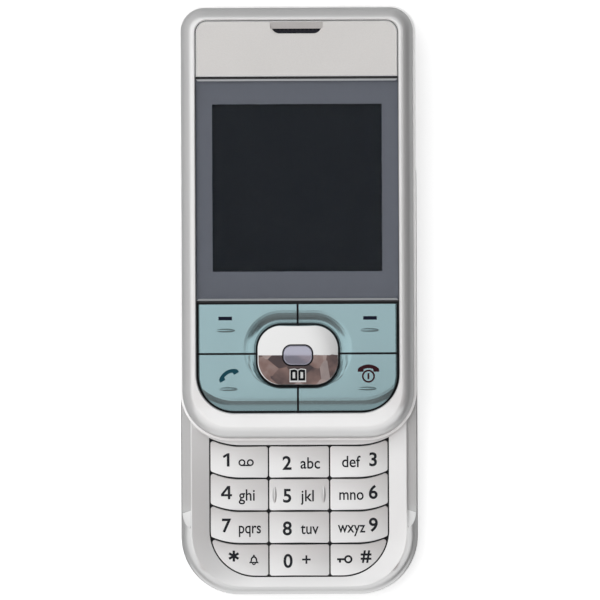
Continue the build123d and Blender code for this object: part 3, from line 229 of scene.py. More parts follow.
def new_material(name):
    """A new material, its node tree and its shader."""
    material = bpy.data.materials.new(name)
    material.use_nodes = True
    MADE[name] = material
    return material, material.node_tree, material.node_tree.nodes["Principled BSDF"]


def finish(name, color, roughness, flakes=0.04, flake_scale=8000.0, drift=0.03, smudge=0.06,
           lines=0.0, grain=0.0, **constants):
    """A procedural material; lines and grain are the depths of its relief, in metres."""
    if name in MADE:
        return MADE[name]
    material, tree, shader = new_material(name)
    paint = place_group(tree, "paint_flakes", -600, 200, Color=(*color, 1.0), Flake_Scale=flake_scale,
                        Flake_Amount=flakes, Drift_Amount=drift)
    tree.links.new(paint.outputs["Color"], shader.inputs["Base Color"])
    smudges = place_group(tree, "handling_smudges", -600, -50, Roughness=roughness, Smudge_Amount=smudge)
    tree.links.new(smudges.outputs["Roughness"], shader.inputs["Roughness"])
    if lines or grain:
        relief = place_group(tree, "brushed_lines" if lines else "moulded_grain", -600, -300)
        bump = node_at(tree, "ShaderNodeBump", -300, -300, Distance=lines or grain)
        tree.links.new(relief.outputs["Height"], bump.inputs["Height"])
        tree.links.new(bump.outputs["Normal"], shader.inputs["Normal"])
    for label, value in constants.items():
        shader.inputs[label.replace("_", " ")].default_value = value
    return material


def ink(name, color):
    """Matt print."""
    return finish(name, color, 0.6, drift=0.1, Specular_IOR_Level=0.1)


def paint(name, color, roughness, metallic, coat):
    """Smooth metallic paint under a thin clear coat."""
    return finish(name, color, roughness, flakes=0.0, drift=0.05, Metallic=metallic, Coat_Weight=coat,
                  Coat_Roughness=0.06)


def plastic(name, color, roughness=0.5):
    """Moulded plastic with a fine grain."""
    return finish(name, color, roughness, flake_scale=2500.0, grain=1e-5)


def sheet_metal(name, color, roughness=0.3):
    """Bare or plated metal with brushed lines."""
    return finish(name, color, roughness, lines=4e-6, Metallic=1.0)


def lens_glass(name, index):
    """Clear lens that lets lamp light through to what lies behind it."""
    if name in MADE:
        return MADE[name]
    material, tree, shader = new_material(name)
    shader.inputs["Base Color"].default_value = (0.98, 0.985, 0.99, 1.0)
    shader.inputs["Transmission Weight"].default_value = 1.0
    shader.inputs["IOR"].default_value = index
    smudges = place_group(tree, "handling_smudges", -600, -50, Roughness=0.02, Smudge_Amount=0.03)
    tree.links.new(smudges.outputs["Roughness"], shader.inputs["Roughness"])
    path = node_at(tree, "ShaderNodeLightPath", -200, 400)
    clear = node_at(tree, "ShaderNodeBsdfTransparent", 0, -200)
    surface = shader.outputs[0]
    for step, ray in enumerate(("Is Shadow Ray", "Is Diffuse Ray")):
        mix = node_at(tree, "ShaderNodeMixShader", 300 + 200 * step, 100)
        tree.links.new(path.outputs[ray], mix.inputs[0])
        tree.links.new(surface, mix.inputs[1])
        tree.links.new(clear.outputs[0], mix.inputs[2])
        surface = mix.outputs[0]
    output = tree.nodes["Material Output"]
    output.location = (720, 100)
    tree.links.new(surface, output.inputs["Surface"])
    return material


def repaint(name, material, chosen):
    """Gives the chosen faces of a dressed node a finish of their own."""
    mesh = NODES[name].data
    mesh.materials.append(material)
    for face in mesh.polygons:
        if chosen(face):
            face.material_index = len(mesh.materials) - 1


def level(face):
    """Whether a face looks straight to the front."""
    return face.normal.z > 0.9


def sloped(face):
    """Whether a face is a bevel between the front and the sides."""
    return 0.3 < face.normal.z < 0.9


def dress(material, *names):
    """Gives CAD nodes a finish."""
    for name in names:
        mesh = NODES[name].data
        mesh.materials.clear()
        mesh.materials.append(material)
        DRESSED.add(name)


# Printed marks


def circle(x, y, radius, start=0.0, end=360.0, steps=36):
    """Points round a circle, or along an arc of it with both its ends."""
    count = steps if end - start >= 360.0 else steps + 1
    angles = [math.radians(start + (end - start) * step / steps) for step in range(count)]
    return [(x + radius * math.cos(angle), y + radius * math.sin(angle)) for angle in angles]


def arc_band(x, y, radius, width, start, end):
    """Closed loop of an arc with a width."""
    outer = circle(x, y, radius + width / 2, start, end)
    inner = circle(x, y, radius - width / 2, start, end)
    return outer + inner[::-1]


def bar(left, right, low, high):
    """Corners of an upright rectangle."""
    return [(left, low), (right, low), (right, high), (left, high)]


def mirrored(loop):
    """A loop on the other side of the middle line, in the order that carries on from the first."""
    return [(-x, y) for x, y in loop[::-1]]


def moved(loop, x, y, degrees=0.0):
    """A loop turned about the origin and moved to a place."""
    c, s = math.cos(math.radians(degrees)), math.sin(math.radians(degrees))
    return [(x + px * c - py * s, y + px * s + py * c) for px, py in loop]


class Print:
    """Flat shapes in millimetres that are laid on a node's upper face as a thin layer."""

    def __init__(self, node):
        self.node = node
        self.points = []
        self.faces = []

    def add_curve(self, curve, scale=(1.0, 1.0), shift=(0.0, 0.0)):
        """Takes over the filled mesh of a curve or text, and removes the curve."""
        curve.extrude = 0.5
        holder = bpy.data.objects.new("layout", curve)
        bpy.context.scene.collection.objects.link(holder)
        mesh = bpy.data.meshes.new_from_object(holder.evaluated_get(bpy.context.evaluated_depsgraph_get()))
        start = len(self.points)
        for vertex in mesh.vertices:
            x, y, z = vertex.co
            self.points.append(Vector((x * scale[0] + shift[0], y * scale[1] + shift[1], z)))
        self.faces += [tuple(start + index for index in face.vertices) for face in mesh.polygons]
        bpy.data.objects.remove(holder)
        bpy.data.curves.remove(curve)
        bpy.data.meshes.remove(mesh)
        return self.points[start:]

    def words(self, text, height, measure, weight, x, baseline, anchor, width=None):
        """Text whose measure letter has a height, stretched to a width where one is given.

        Anchor 0 puts its left edge on x, 0.5 its middle.
        """
        size = height / letter_height(measure)
        placed = self.add_curve(text_curve(text, weight), (size, size), (0.0, baseline))
        left = min(point.x for point in placed)
        right = max(point.x for point in placed)
        squeeze = width / (right - left) if width else 1.0
        for point in placed:
            point.x = x + (point.x - left - (right - left) * anchor) * squeeze

    def shape(self, *loops):
        """Closed loops of points; a loop inside another is a hole."""
        curve = bpy.data.curves.new("loops", "CURVE")
        curve.dimensions = "2D"
        curve.fill_mode = "BOTH"
        for loop in loops:
            spline = curve.splines.new("POLY")
            spline.points.add(len(loop) - 1)
            for point, (x, y) in zip(spline.points, loop):
                point.co = (x, y, 0.0, 1.0)
            spline.use_cyclic_u = True
        self.add_curve(curve)

    def lay(self, name, material, layer=0):
        """Lays the shapes on the node and lets them ride with its body."""
        sizes = bpy.context.scene.phone_legends
        form = bmesh.new()
        corners = [form.verts.new(point) for point in self.points]
        for face in self.faces:
            form.faces.new([corners[index] for index in face])
        self.split(form, sizes.fineness)
        skin = BVHTree.FromObject(NODES[self.node], bpy.context.evaluated_depsgraph_get())
        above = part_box(self.node)[1].z + MM
        for vertex in form.verts:
            x, y = vertex.co.x * MM, vertex.co.y * MM
            hit = skin.ray_cast(Vector((x, y, above)), Vector((0.0, 0.0, -1.0)))[0]
            if hit is None:
                raise RuntimeError(f"{name} reaches past {self.node}")
            height = sizes.proud * (1 + layer) if vertex.co.z > 0 else -sizes.depth
            vertex.co = (x, y, hit.z + height * MM)
        mesh = bpy.data.meshes.new(name)
        form.to_mesh(mesh)
        form.free()
        mesh.materials.append(material)
        piece = bpy.data.objects.new(name, mesh)
        bpy.context.scene.collection.objects.link(piece)
        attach(piece, self.node)

    @staticmethod
    def split(form, step):
        """Cuts a mesh along a square net so that it can follow a curved face."""
        for axis in (0, 1):
            places = [vertex.co[axis] for vertex in form.verts]
            normal = Vector((1.0, 0.0, 0.0)) if axis == 0 else Vector((0.0, 1.0, 0.0))
            for count in range(math.ceil(min(places) / step), math.floor(max(places) / step) + 1):
                bmesh.ops.bisect_plane(form, geom=form.verts[:] + form.edges[:] + form.faces[:],
                                       plane_co=normal * (count * step), plane_no=normal)


def text_curve(text, weight):
    """Text in the built-in face, thickened by a weight."""
    curve = bpy.data.curves.new("words", "FONT")
    curve.body = text
    curve.offset = weight
    curve.resolution_u = 5
    return curve


def letter_height(letter):
    """Height of a letter of the built-in face at size one."""
    probe = Print(None)
    placed = probe.add_curve(text_curve(letter, 0.0))
    return max(point.y for point in placed) - min(point.y for point in placed)


def middle(node):
    """Middle of a node in millimetres, across and along."""
    low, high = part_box(node)
    return (low.x + high.x) / 2 / MM, (low.y + high.y) / 2 / MM


# Settings


def colour(name, description, default):
    """Setting for a colour."""
    return bpy.props.FloatVectorProperty(name=name, description=description, default=default, size=3,
                                         subtype="COLOR", min=0.0, max=1.0)


def number(name, description, default, **kind):
    """Setting for one number."""
    return bpy.props.FloatProperty(name=name, description=description, default=default, precision=4, **kind)


def spot(name, description, default):
    """Setting for a place in the phone's frame."""
    return bpy.props.FloatVectorProperty(name=name, description=description, default=default, size=3,
                                         unit="LENGTH", precision=6)


class PhoneFinishes(bpy.types.PropertyGroup):
    """Colours of the phone's finishes"""
    bezel: colour("Bezel", "Pearl silver of the display half's frame", (0.94, 0.94, 0.94))
    base: colour("Base", "Silver of the keypad half", (0.76, 0.76, 0.76))
    track: colour("Side ledges", "Duller silver of the ledges beside the keypad", (0.53, 0.53, 0.53))
    plate: colour("Earpiece plate", "Warm grey of the top plate", (0.72, 0.705, 0.69))
    teal: colour("Function keys", "Pale teal of the display half's keys", (0.235, 0.350, 0.375))
    keys: colour("Number keys", "Silver of the number keys", (0.76, 0.76, 0.76))
    mask: colour("Window border", "Grey print behind the lens", (0.145, 0.156, 0.185))
    screen: colour("Screen", "Display that is switched off", (0.004, 0.006, 0.009))
    select: colour("Select key", "Grey-lavender of the middle key", (0.36, 0.36, 0.44))
    ink: colour("Key print", "Dark print of the legends", (0.022, 0.023, 0.028))


class PhoneLegends(bpy.types.PropertyGroup):
    """Sizes of the printed marks, in millimetres"""
    depth: number("Print depth", "How far the print reaches under the face", 0.02)
    proud: number("Print height", "How far the print stands over the face", 0.012)
    fineness: number("Net", "Spacing of the cuts that let the print follow a curved face", 0.6)
    digit: number("Digit height", "Height of the digits", 2.62)
    letter: number("Letter height", "Height of the small letters", 1.42)
    digit_weight: number("Digit weight", "How much the digits are thickened", 0.021)
    letter_weight: number("Letter weight", "How much the letters are thickened", 0.012)


class PhoneLinks(bpy.types.PropertyGroup):
    """Where the flexible circuit and the spring let go of the base and join the display half"""
    flex_start: spot("Circuit on the base", "End of the circuit's lower run", (0.0, 0.0061, 0.0096))
    flex_end: spot("Circuit on the slider", "Start of the circuit's upper run", (0.0, 0.006125, 0.010726))
    spring_start: spot("Spring on the base", "Edge of the eye on the base's pivot", (0.0, 0.0039, 0.0))
    spring_end: spot("Spring on the slider", "Edge of the eye on the slider's pivot", (0.0, 0.0153, 0.0))


class PhoneStage(bpy.types.PropertyGroup):
    """Camera and light of the studio"""
    distance: number("Camera distance", "From the phone to the camera", 3.0, unit="LENGTH")
    field: number("Field width", "Width of the picture at the phone", 0.11797, unit="LENGTH")
    aim: spot("Aim", "Where the camera looks", (0.00036, 0.0, 0.012))
    yaw: number("Yaw", "How far the camera stands to the right", math.radians(1.0), subtype="ANGLE")
    roll: number("Roll", "How far the camera turns about its axis", math.radians(-0.25), subtype="ANGLE")
    key_power: number("Key lamp", "Power of the large lamp at the upper left", 6.0, unit="POWER")
    walls: number("Walls", "Light of the room's walls", 0.28)
    wall_slope: bpy.props.FloatVectorProperty(
        name="Wall slope", description="How the walls' light grows along each axis",
        default=(-0.18, 0.10, 0.0), subtype="XYZ")
    ceiling: number("Ceiling", "Light that the ceiling adds", 1.25)
    front: number("Front window", "Light that the low window in front adds", 0.5)
    lift: number("Floor lift", "Light added to the floor as the camera sees it", 0.58)


# Operators


class PHONE_OT_shells(bpy.types.Operator):
    """Paint the outer shells, the battery cover and the guide rails"""
    bl_idname = "phone.shells"
    bl_label = "Shells"

    def execute(self, context):
        colors = context.scene.phone_finishes
        bezel_paint = paint("bezel_paint", colors.bezel, roughness=0.42, metallic=0.85, coat=0.3)
        rim_paint = paint("rim_paint", colors.bezel, roughness=0.33, metallic=0.80, coat=0.3)
        base_paint = paint("base_paint", colors.base, roughness=0.33, metallic=0.80, coat=0.3)
        track_paint = paint("track_paint", colors.track, roughness=0.36, metallic=0.70, coat=0.2)
        # Painted highlight: a whiter, rougher, less metallic paint for the ramps at the ends of the side
        # ledges, standing in for the glint they catch
        ramp_highlight_paint = paint("ramp_highlight_paint", colors.bezel, roughness=0.6, metallic=0.3, coat=0.2)
        # Painted highlight: a whiter, rougher, less metallic paint for the earpiece plate's bevels
        edge_highlight_paint = paint("plate_edge_highlight", colors.bezel, roughness=0.5, metallic=0.3, coat=0.2)
        dress(bezel_paint, "slider_bezel")
        dress(rim_paint, "slider_rear_cover")
        dress(base_paint, "base_front_housing", "base_rear_housing", "battery_cover")
        dress(finish("plate_satin", colors.plate, 0.45, flakes=0.12, flake_scale=6000.0, grain=6e-6,
                     Metallic=0.5), "earpiece_plate")
        dress(plastic("guide_plastic", (0.30, 0.30, 0.31)), "left_guide_rail", "right_guide_rail")
        # Painted shade: the walls of the bezel's opening and the shelf in it are painted near black, so the
        # gaps round the window and the function keys look dark
        repaint("slider_bezel", plastic("opening_shade_black", (0.02, 0.02, 0.022)), self.in_opening())
        repaint("base_front_housing", track_paint, self.on_ledge())
        # Painted highlight on the ramps that climb from the side ledges
        repaint("base_front_housing", ramp_highlight_paint, self.on_ramp())
        # Painted highlight on the earpiece plate's bevels
        repaint("earpiece_plate", edge_highlight_paint, sloped)
        return {"FINISHED"}

    @staticmethod
    def on_ledge():
        """Test for a face of the base that is a ledge beside the keypad."""
        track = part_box("left_guide_rail")[0].z
        return lambda face: level(face) and abs(face.center.z - track) < 0.3 * MM

    @staticmethod
    def on_ramp():
        """Test for a face of the base that climbs from a ledge beside the keypad."""
        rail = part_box("right_guide_rail")[0].x
        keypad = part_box("key_1")[1].y
        return lambda face: face.normal.y > 0.15 and abs(face.center.x) > rail and face.center.y < keypad

    @staticmethod
    def in_opening():
        """Test for a face of the bezel that is a wall of its opening or the shelf in it."""
        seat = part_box("display_window")[0].z
        low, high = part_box("earpiece_plate")
        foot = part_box("call_key")[0].y
        inner = Vector(((low.x + high.x) / 2, (foot + high.y) / 2, 0.0))
        margin = 0.6 * MM

        def chosen(face):
            x, y, z = face.center
            inside = low.x - margin < x < high.x + margin and foot - margin < y < high.y + margin
            upright = abs(face.normal.z) < 0.2
            inward = face.normal.xy.dot((face.center - inner).xy) < 0
            shelf = level(face) and z < seat
            return inside and (upright and inward or shelf)

        return chosen


class PHONE_OT_display(bpy.types.Operator):
    """Finish the lens, the window border, the screen and the earpiece grille"""
    bl_idname = "phone.display"
    bl_label = "Display and earpiece"

    def execute(self, context):
        colors = context.scene.phone_finishes
        dress(lens_glass("lens_glass", index=1.08), "display_window")
        # Painted highlight: the lens's upper and lower bevels get a light grey matt finish, while its side
        # bevels stay clear
        repaint("display_window", finish("lens_bevel_highlight", (0.50, 0.51, 0.53), 0.4),
                lambda face: sloped(face) and abs(face.normal.y) > 0.5)
        dress(finish("border_print", colors.mask, 0.6, flakes=0.06, Specular_IOR_Level=0.1), "window_mask")
        dress(finish("screen_glass", colors.screen, 0.15, drift=0.2, smudge=0.02, Specular_IOR_Level=0.02),
              "display_panel")
        dress(finish("grille_black", (0.006, 0.007, 0.014), 0.5, flakes=0.2, flake_scale=4000.0,
                     Metallic=0.3), "earpiece_grille")
        return {"FINISHED"}


class PHONE_OT_function_keys(bpy.types.Operator):
    """Paint the teal keys and print their signs"""
    bl_idname = "phone.function_keys"
    bl_label = "Function keys"

    # Middles of the signs on the phone, in millimetres, and the tilt of the call sign in degrees
    DASHES = {"left_soft_key": (-14.2, -3.57), "right_soft_key": (14.2, -3.57)}
    CALL_SIGN = (-13.74, -14.48)
    CALL_TILT = 30.0
    END_SIGN = (13.85, -13.4)
    SWITCH_SIGN = (13.85, -15.0)

    def execute(self, context):
        colors = context.scene.phone_finishes
        dress(paint("teal_paint", colors.teal, roughness=0.20, metallic=0.85, coat=0.5),
              "left_soft_key", "right_soft_key", "call_key", "end_key")
        navy = ink("navy_ink", (0.006, 0.008, 0.022))
        for node, place in self.DASHES.items():
            dash = Print(node)
            dash.shape(moved(bar(-1.33, 1.33, -0.35, 0.35), *place))
            dash.lay("mark_" + node, navy)
        call = Print("call_key")
        call.shape(moved(self.receiver(), *self.CALL_SIGN, self.CALL_TILT))
        call.lay("mark_call_key", ink("call_ink", (0.008, 0.060, 0.085)))
        end = Print("end_key")
        end.shape(moved(self.receiver(), *self.END_SIGN))
        self.switch(end, *self.SWITCH_SIGN)
        end.lay("mark_end_key", ink("end_ink", (0.035, 0.008, 0.012)))
        return {"FINISHED"}

    @staticmethod
    def receiver():
        """Outline of a telephone receiver that bows upward, with a cup at each end."""
        height, back, inside = -2.33, 3.03, 2.30
        cup = [(0.95, -0.24), (0.95, -0.62), (1.08, -0.74), (2.00, -0.74), (2.14, -0.62)]
        bow = circle(0.0, height, back, 47.4, 132.6)
        hollow = circle(0.0, height, inside, 65.6, 114.4)
        return bow + mirrored(cup) + hollow[::-1] + cup

    @staticmethod
    def switch(layer, x, y):
        """Round switch sign with a bar in it."""
        layer.shape(circle(x, y, 1.28), circle(x, y, 0.94))
        layer.shape(moved(bar(-0.18, 0.18, -0.58, 0.58), x, y))


class PHONE_OT_navigation(bpy.types.Operator):
    """Finish the navigation ring and the select key, and print the book sign"""
    bl_idname = "phone.navigation"
    bl_label = "Navigation"

    # Middle of the book sign on the phone and the right half of its outlines, in millimetres
    BOOK_SIGN = (0.0, -14.85)
    COVER = [(0.02, -1.28), (1.62, -1.28), (1.62, 1.30), (0.62, 1.42), (0.02, 1.20)]
    PAGE = [(0.10, -0.95), (1.45, -0.95), (1.45, 1.12), (0.62, 1.25), (0.10, 1.02)]
    HOLE = [(0.52, -0.50), (1.02, -0.50), (1.02, 0.66), (0.66, 0.74), (0.52, 0.66)]

    def execute(self, context):
        colors = context.scene.phone_finishes
        dress(finish("ring_chrome", (0.52, 0.52, 0.52), 0.04, flakes=0.0, drift=0.02, smudge=0.03,
                     Metallic=1.0), "nav_ring")
        dress(plastic("carrier_black", (0.02, 0.02, 0.022)), "nav_carrier")
        dress(paint("select_paint", colors.select, roughness=0.16, metallic=0.55, coat=0.4), "select_key")
        paper = Print("nav_ring")
        book = Print("nav_ring")
        right = (self.COVER, self.PAGE, self.HOLE)
        left = [mirrored(loop) for loop in right]
        for halves in (left, right):
            cover, page, hole = [moved(loop, *self.BOOK_SIGN) for loop in halves]
            paper.shape(cover)
            book.shape(page, hole)
        paper.lay("mark_book_paper", ink("book_white", (0.72, 0.72, 0.72)))
        book.lay("mark_book_print", ink("book_black", (0.006, 0.006, 0.008)), layer=1)
        return {"FINISHED"}


class PHONE_OT_number_keys(bpy.types.Operator):
    """Paint the number keys and print their legends"""
    bl_idname = "phone.number_keys"
    bl_label = "Number keys"

    # Middle of the digit from the middle of a key of each column, in the upper rows and in the lowest
    DIGITS = [(-2.52, 0.45), (-2.36, -0.18), (2.80, 0.48)]
    LOWEST_DIGITS = [(-1.13, 0.82), (-2.24, -0.15), (1.33, 0.60)]
    # Place of the letters on their baseline and their anchor, in each column
    LETTERS = [(-0.12, -1.12, 0.0), (0.28, -1.30, 0.0), (-1.49, -1.05, 0.5)]
    # Digits that the built-in face draws unlike the keys, from the middle of their foot
    ONE = [(0.10, 0.0), (0.62, 0.0), (0.62, 2.62), (0.22, 2.62), (-0.70, 2.08), (-0.50, 1.66), (0.10, 2.04)]
    FOUR = [(0.26, 0.0), (0.74, 0.0), (0.74, 0.58), (1.08, 0.58), (1.08, 1.0), (0.74, 1.0), (0.74, 2.62),
            (0.20, 2.62), (-1.08, 1.02), (-1.08, 0.58), (0.26, 0.58)]
    FOUR_HOLE = [(0.26, 1.0), (0.26, 1.98), (-0.52, 1.0)]

    def execute(self, context):
        colors = context.scene.phone_finishes
        sizes = context.scene.phone_legends
        silver = paint("key_paint", colors.keys, roughness=0.33, metallic=0.75, coat=0.3)
        dark = ink("key_ink", colors.ink)
        signs = {"key_1": (self.tape, 1.37, -0.80), "key_star": (self.bell, 2.82, -0.90),
                 "key_0": (self.plus, 1.37, 0.08), "key_hash": (self.lock_key, -2.17, 0.10)}
        for order, (node, digit, letters, width) in enumerate(LEGENDS):
            row, column = divmod(order, 3)
            dress(silver, node)
            x = self.column_middle(column)
            y = middle(MIDDLE_COLUMN[row])[1]
            layer = Print(node)
            dx, dy = (self.LOWEST_DIGITS if row == 3 else self.DIGITS)[column]
            low = y + dy - sizes.digit / 2
            if digit == "*":
                self.star(layer, x + dx, y + dy)
            elif digit == "#":
                self.hash_sign(layer, x + dx, y + dy)
            elif digit == "1":
                layer.shape(moved(self.ONE, x + dx, low))
            elif digit == "4":
                layer.shape(moved(self.FOUR, x + dx, low), moved(self.FOUR_HOLE, x + dx, low))
            else:
                layer.words(digit, sizes.digit, "0", sizes.digit_weight, x + dx, low, 0.5)
            if letters:
                dx, dy, anchor = self.LETTERS[column]
                layer.words(letters, sizes.letter, "x", sizes.letter_weight, x + dx, y + dy, anchor, width)
            if node in signs:
                draw, dx, dy = signs[node]
                draw(layer, x + dx, y + dy)
            layer.lay("legend_" + node, dark)
        return {"FINISHED"}

    @staticmethod
    def column_middle(column):
        """Middle of a column, from the keys' shared edges."""
        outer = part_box("key_3")
        side = (outer[0].x + outer[1].x) / 2 / MM
        return (column - 1) * side

    @staticmethod
    def star(layer, x, y):
        """Six-armed star."""
        for degrees in (30.0, 90.0, 150.0):
            layer.shape(moved(bar(-1.08, 1.08, -0.24, 0.24), x, y, degrees))

    @staticmethod
    def hash_sign(layer, x, y):
        """Two level bars crossed by two leaning ones."""
        half, reach, height, lean, gap = 0.21, 1.06, 1.24, 0.20, 0.42
        for side in (-gap, gap):
            layer.shape(moved(bar(-reach, reach, side - half, side + half), x, y))
            foot, head = side - lean, side + lean
            leaning = [(foot - half, -height), (foot + half, -height),
                       (head + half, height), (head - half, height)]
            layer.shape(moved(leaning, x, y))

    @staticmethod
    def tape(layer, x, low):
        """Two reels of a tape, for the mailbox."""
        radius, reach, width = 0.69, 0.82, 0.30
        middle_height = low + radius
        for reel in (x - reach, x + reach):
            layer.shape(circle(reel, middle_height, radius), circle(reel, middle_height, radius - width))
        layer.shape(bar(x - reach, x + reach, low, low + width))

    @staticmethod
    def bell(layer, x, low):
        """Bell with a clapper and a knob."""
        half = [(1.00, 0.30), (0.68, 0.66), (0.60, 1.28), (0.26, 1.66)]
        hole = [(0.46, 0.56), (0.38, 0.74), (0.31, 1.16), (0.12, 1.36)]
        layer.shape(moved(half + mirrored(half), x, low), moved(hole + mirrored(hole), x, low))
        layer.shape(arc_band(x, low + 0.30, 0.26, 0.24, 180.0, 360.0))
        layer.shape(circle(x, low + 1.80, 0.18))

    @staticmethod
    def plus(layer, x, y):
        """Plus sign."""
        arm, half = 0.84, 0.18
        corner = [(half, arm), (half, half), (arm, half)]
        points = []
        for degrees in (0.0, -90.0, -180.0, -270.0):
            points += moved(corner, x, y, degrees)
        layer.shape(points)

    @staticmethod
    def lock_key(layer, x, y):
        """Key lying on its side."""
        layer.shape(circle(x, y, 0.82), circle(x, y, 0.44))
        layer.shape(bar(x - 2.20, x - 0.70, y - 0.20, y + 0.20))
        layer.shape(bar(x - 1.84, x - 1.42, y - 0.66, y - 0.10))


class PHONE_OT_inner_parts(bpy.types.Operator):
    """Finish the boards, mats, slide and other parts inside"""
    bl_idname = "phone.inner_parts"
    bl_label = "Inner parts"

    def execute(self, context):
        dress(sheet_metal("stamped_steel", (0.62, 0.62, 0.62)),
              "shield_cans", "sim_holder", "vibration_motor", "microphone", "charging_socket",
              "slide_rail_plate", "sled_plate", "slide_spring", "slide_magnet",
              "number_dome_sheet", "function_dome_sheet")
        dress(sheet_metal("black_zinc", (0.16, 0.16, 0.17), 0.38),
              "vibration_weight", "base_screws", "rail_screws", "sled_screws", "slider_screws")
        dress(sheet_metal("gold_flash", (0.80, 0.60, 0.24), 0.25), "battery_contacts", "antenna")
        dress(plastic("speaker_black", (0.025, 0.025, 0.027)), "ringer_speaker", "earpiece_speaker")
        dress(plastic("shoe_white", (0.78, 0.78, 0.75), 0.4), "sled_shoes", "backlight_frame")
        dress(finish("mat_rubber", (0.020, 0.020, 0.024), 0.6, grain=2e-5),
              "number_key_mat", "function_key_mat")
        dress(finish("board_green", (0.02, 0.13, 0.06), 0.38, flakes=0.3, flake_scale=900.0, drift=0.4),
              "main_board", "slider_board")
        dress(plastic("wrap_grey", (0.12, 0.125, 0.14), 0.45), "battery_pack")
        dress(finish("flex_amber", (0.42, 0.19, 0.03), 0.35, drift=0.2), "slide_flex")
        bare = sorted(set(NODES) - DRESSED)
        if bare:
            raise RuntimeError(f"nodes without a finish: {bare}")
        return {"FINISHED"}


class PHONE_OT_slide_links(bpy.types.Operator):
    """Put fixed copies of the flexible circuit and the spring in place of their nodes"""
    bl_idname = "phone.slide_links"
    bl_label = "Slide links"

    def execute(self, context):
        circuit = self.follower("flex_loop", "slide_flex", "amber_film")
        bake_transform(circuit)
        spring = self.follower("spring_wire", "slide_spring", "bright_steel")
        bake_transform(spring)
        return {"FINISHED"}

    @staticmethod
    def follower(name, node, slot):
        """A copy of a dressed node that stands for it."""
        mesh = NODES[node].data.copy()
        mesh.transform(NODES[node].matrix_world)
        piece = bpy.data.objects.new(name, mesh)
        bpy.context.scene.collection.objects.link(piece)
        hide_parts(node)
        return piece


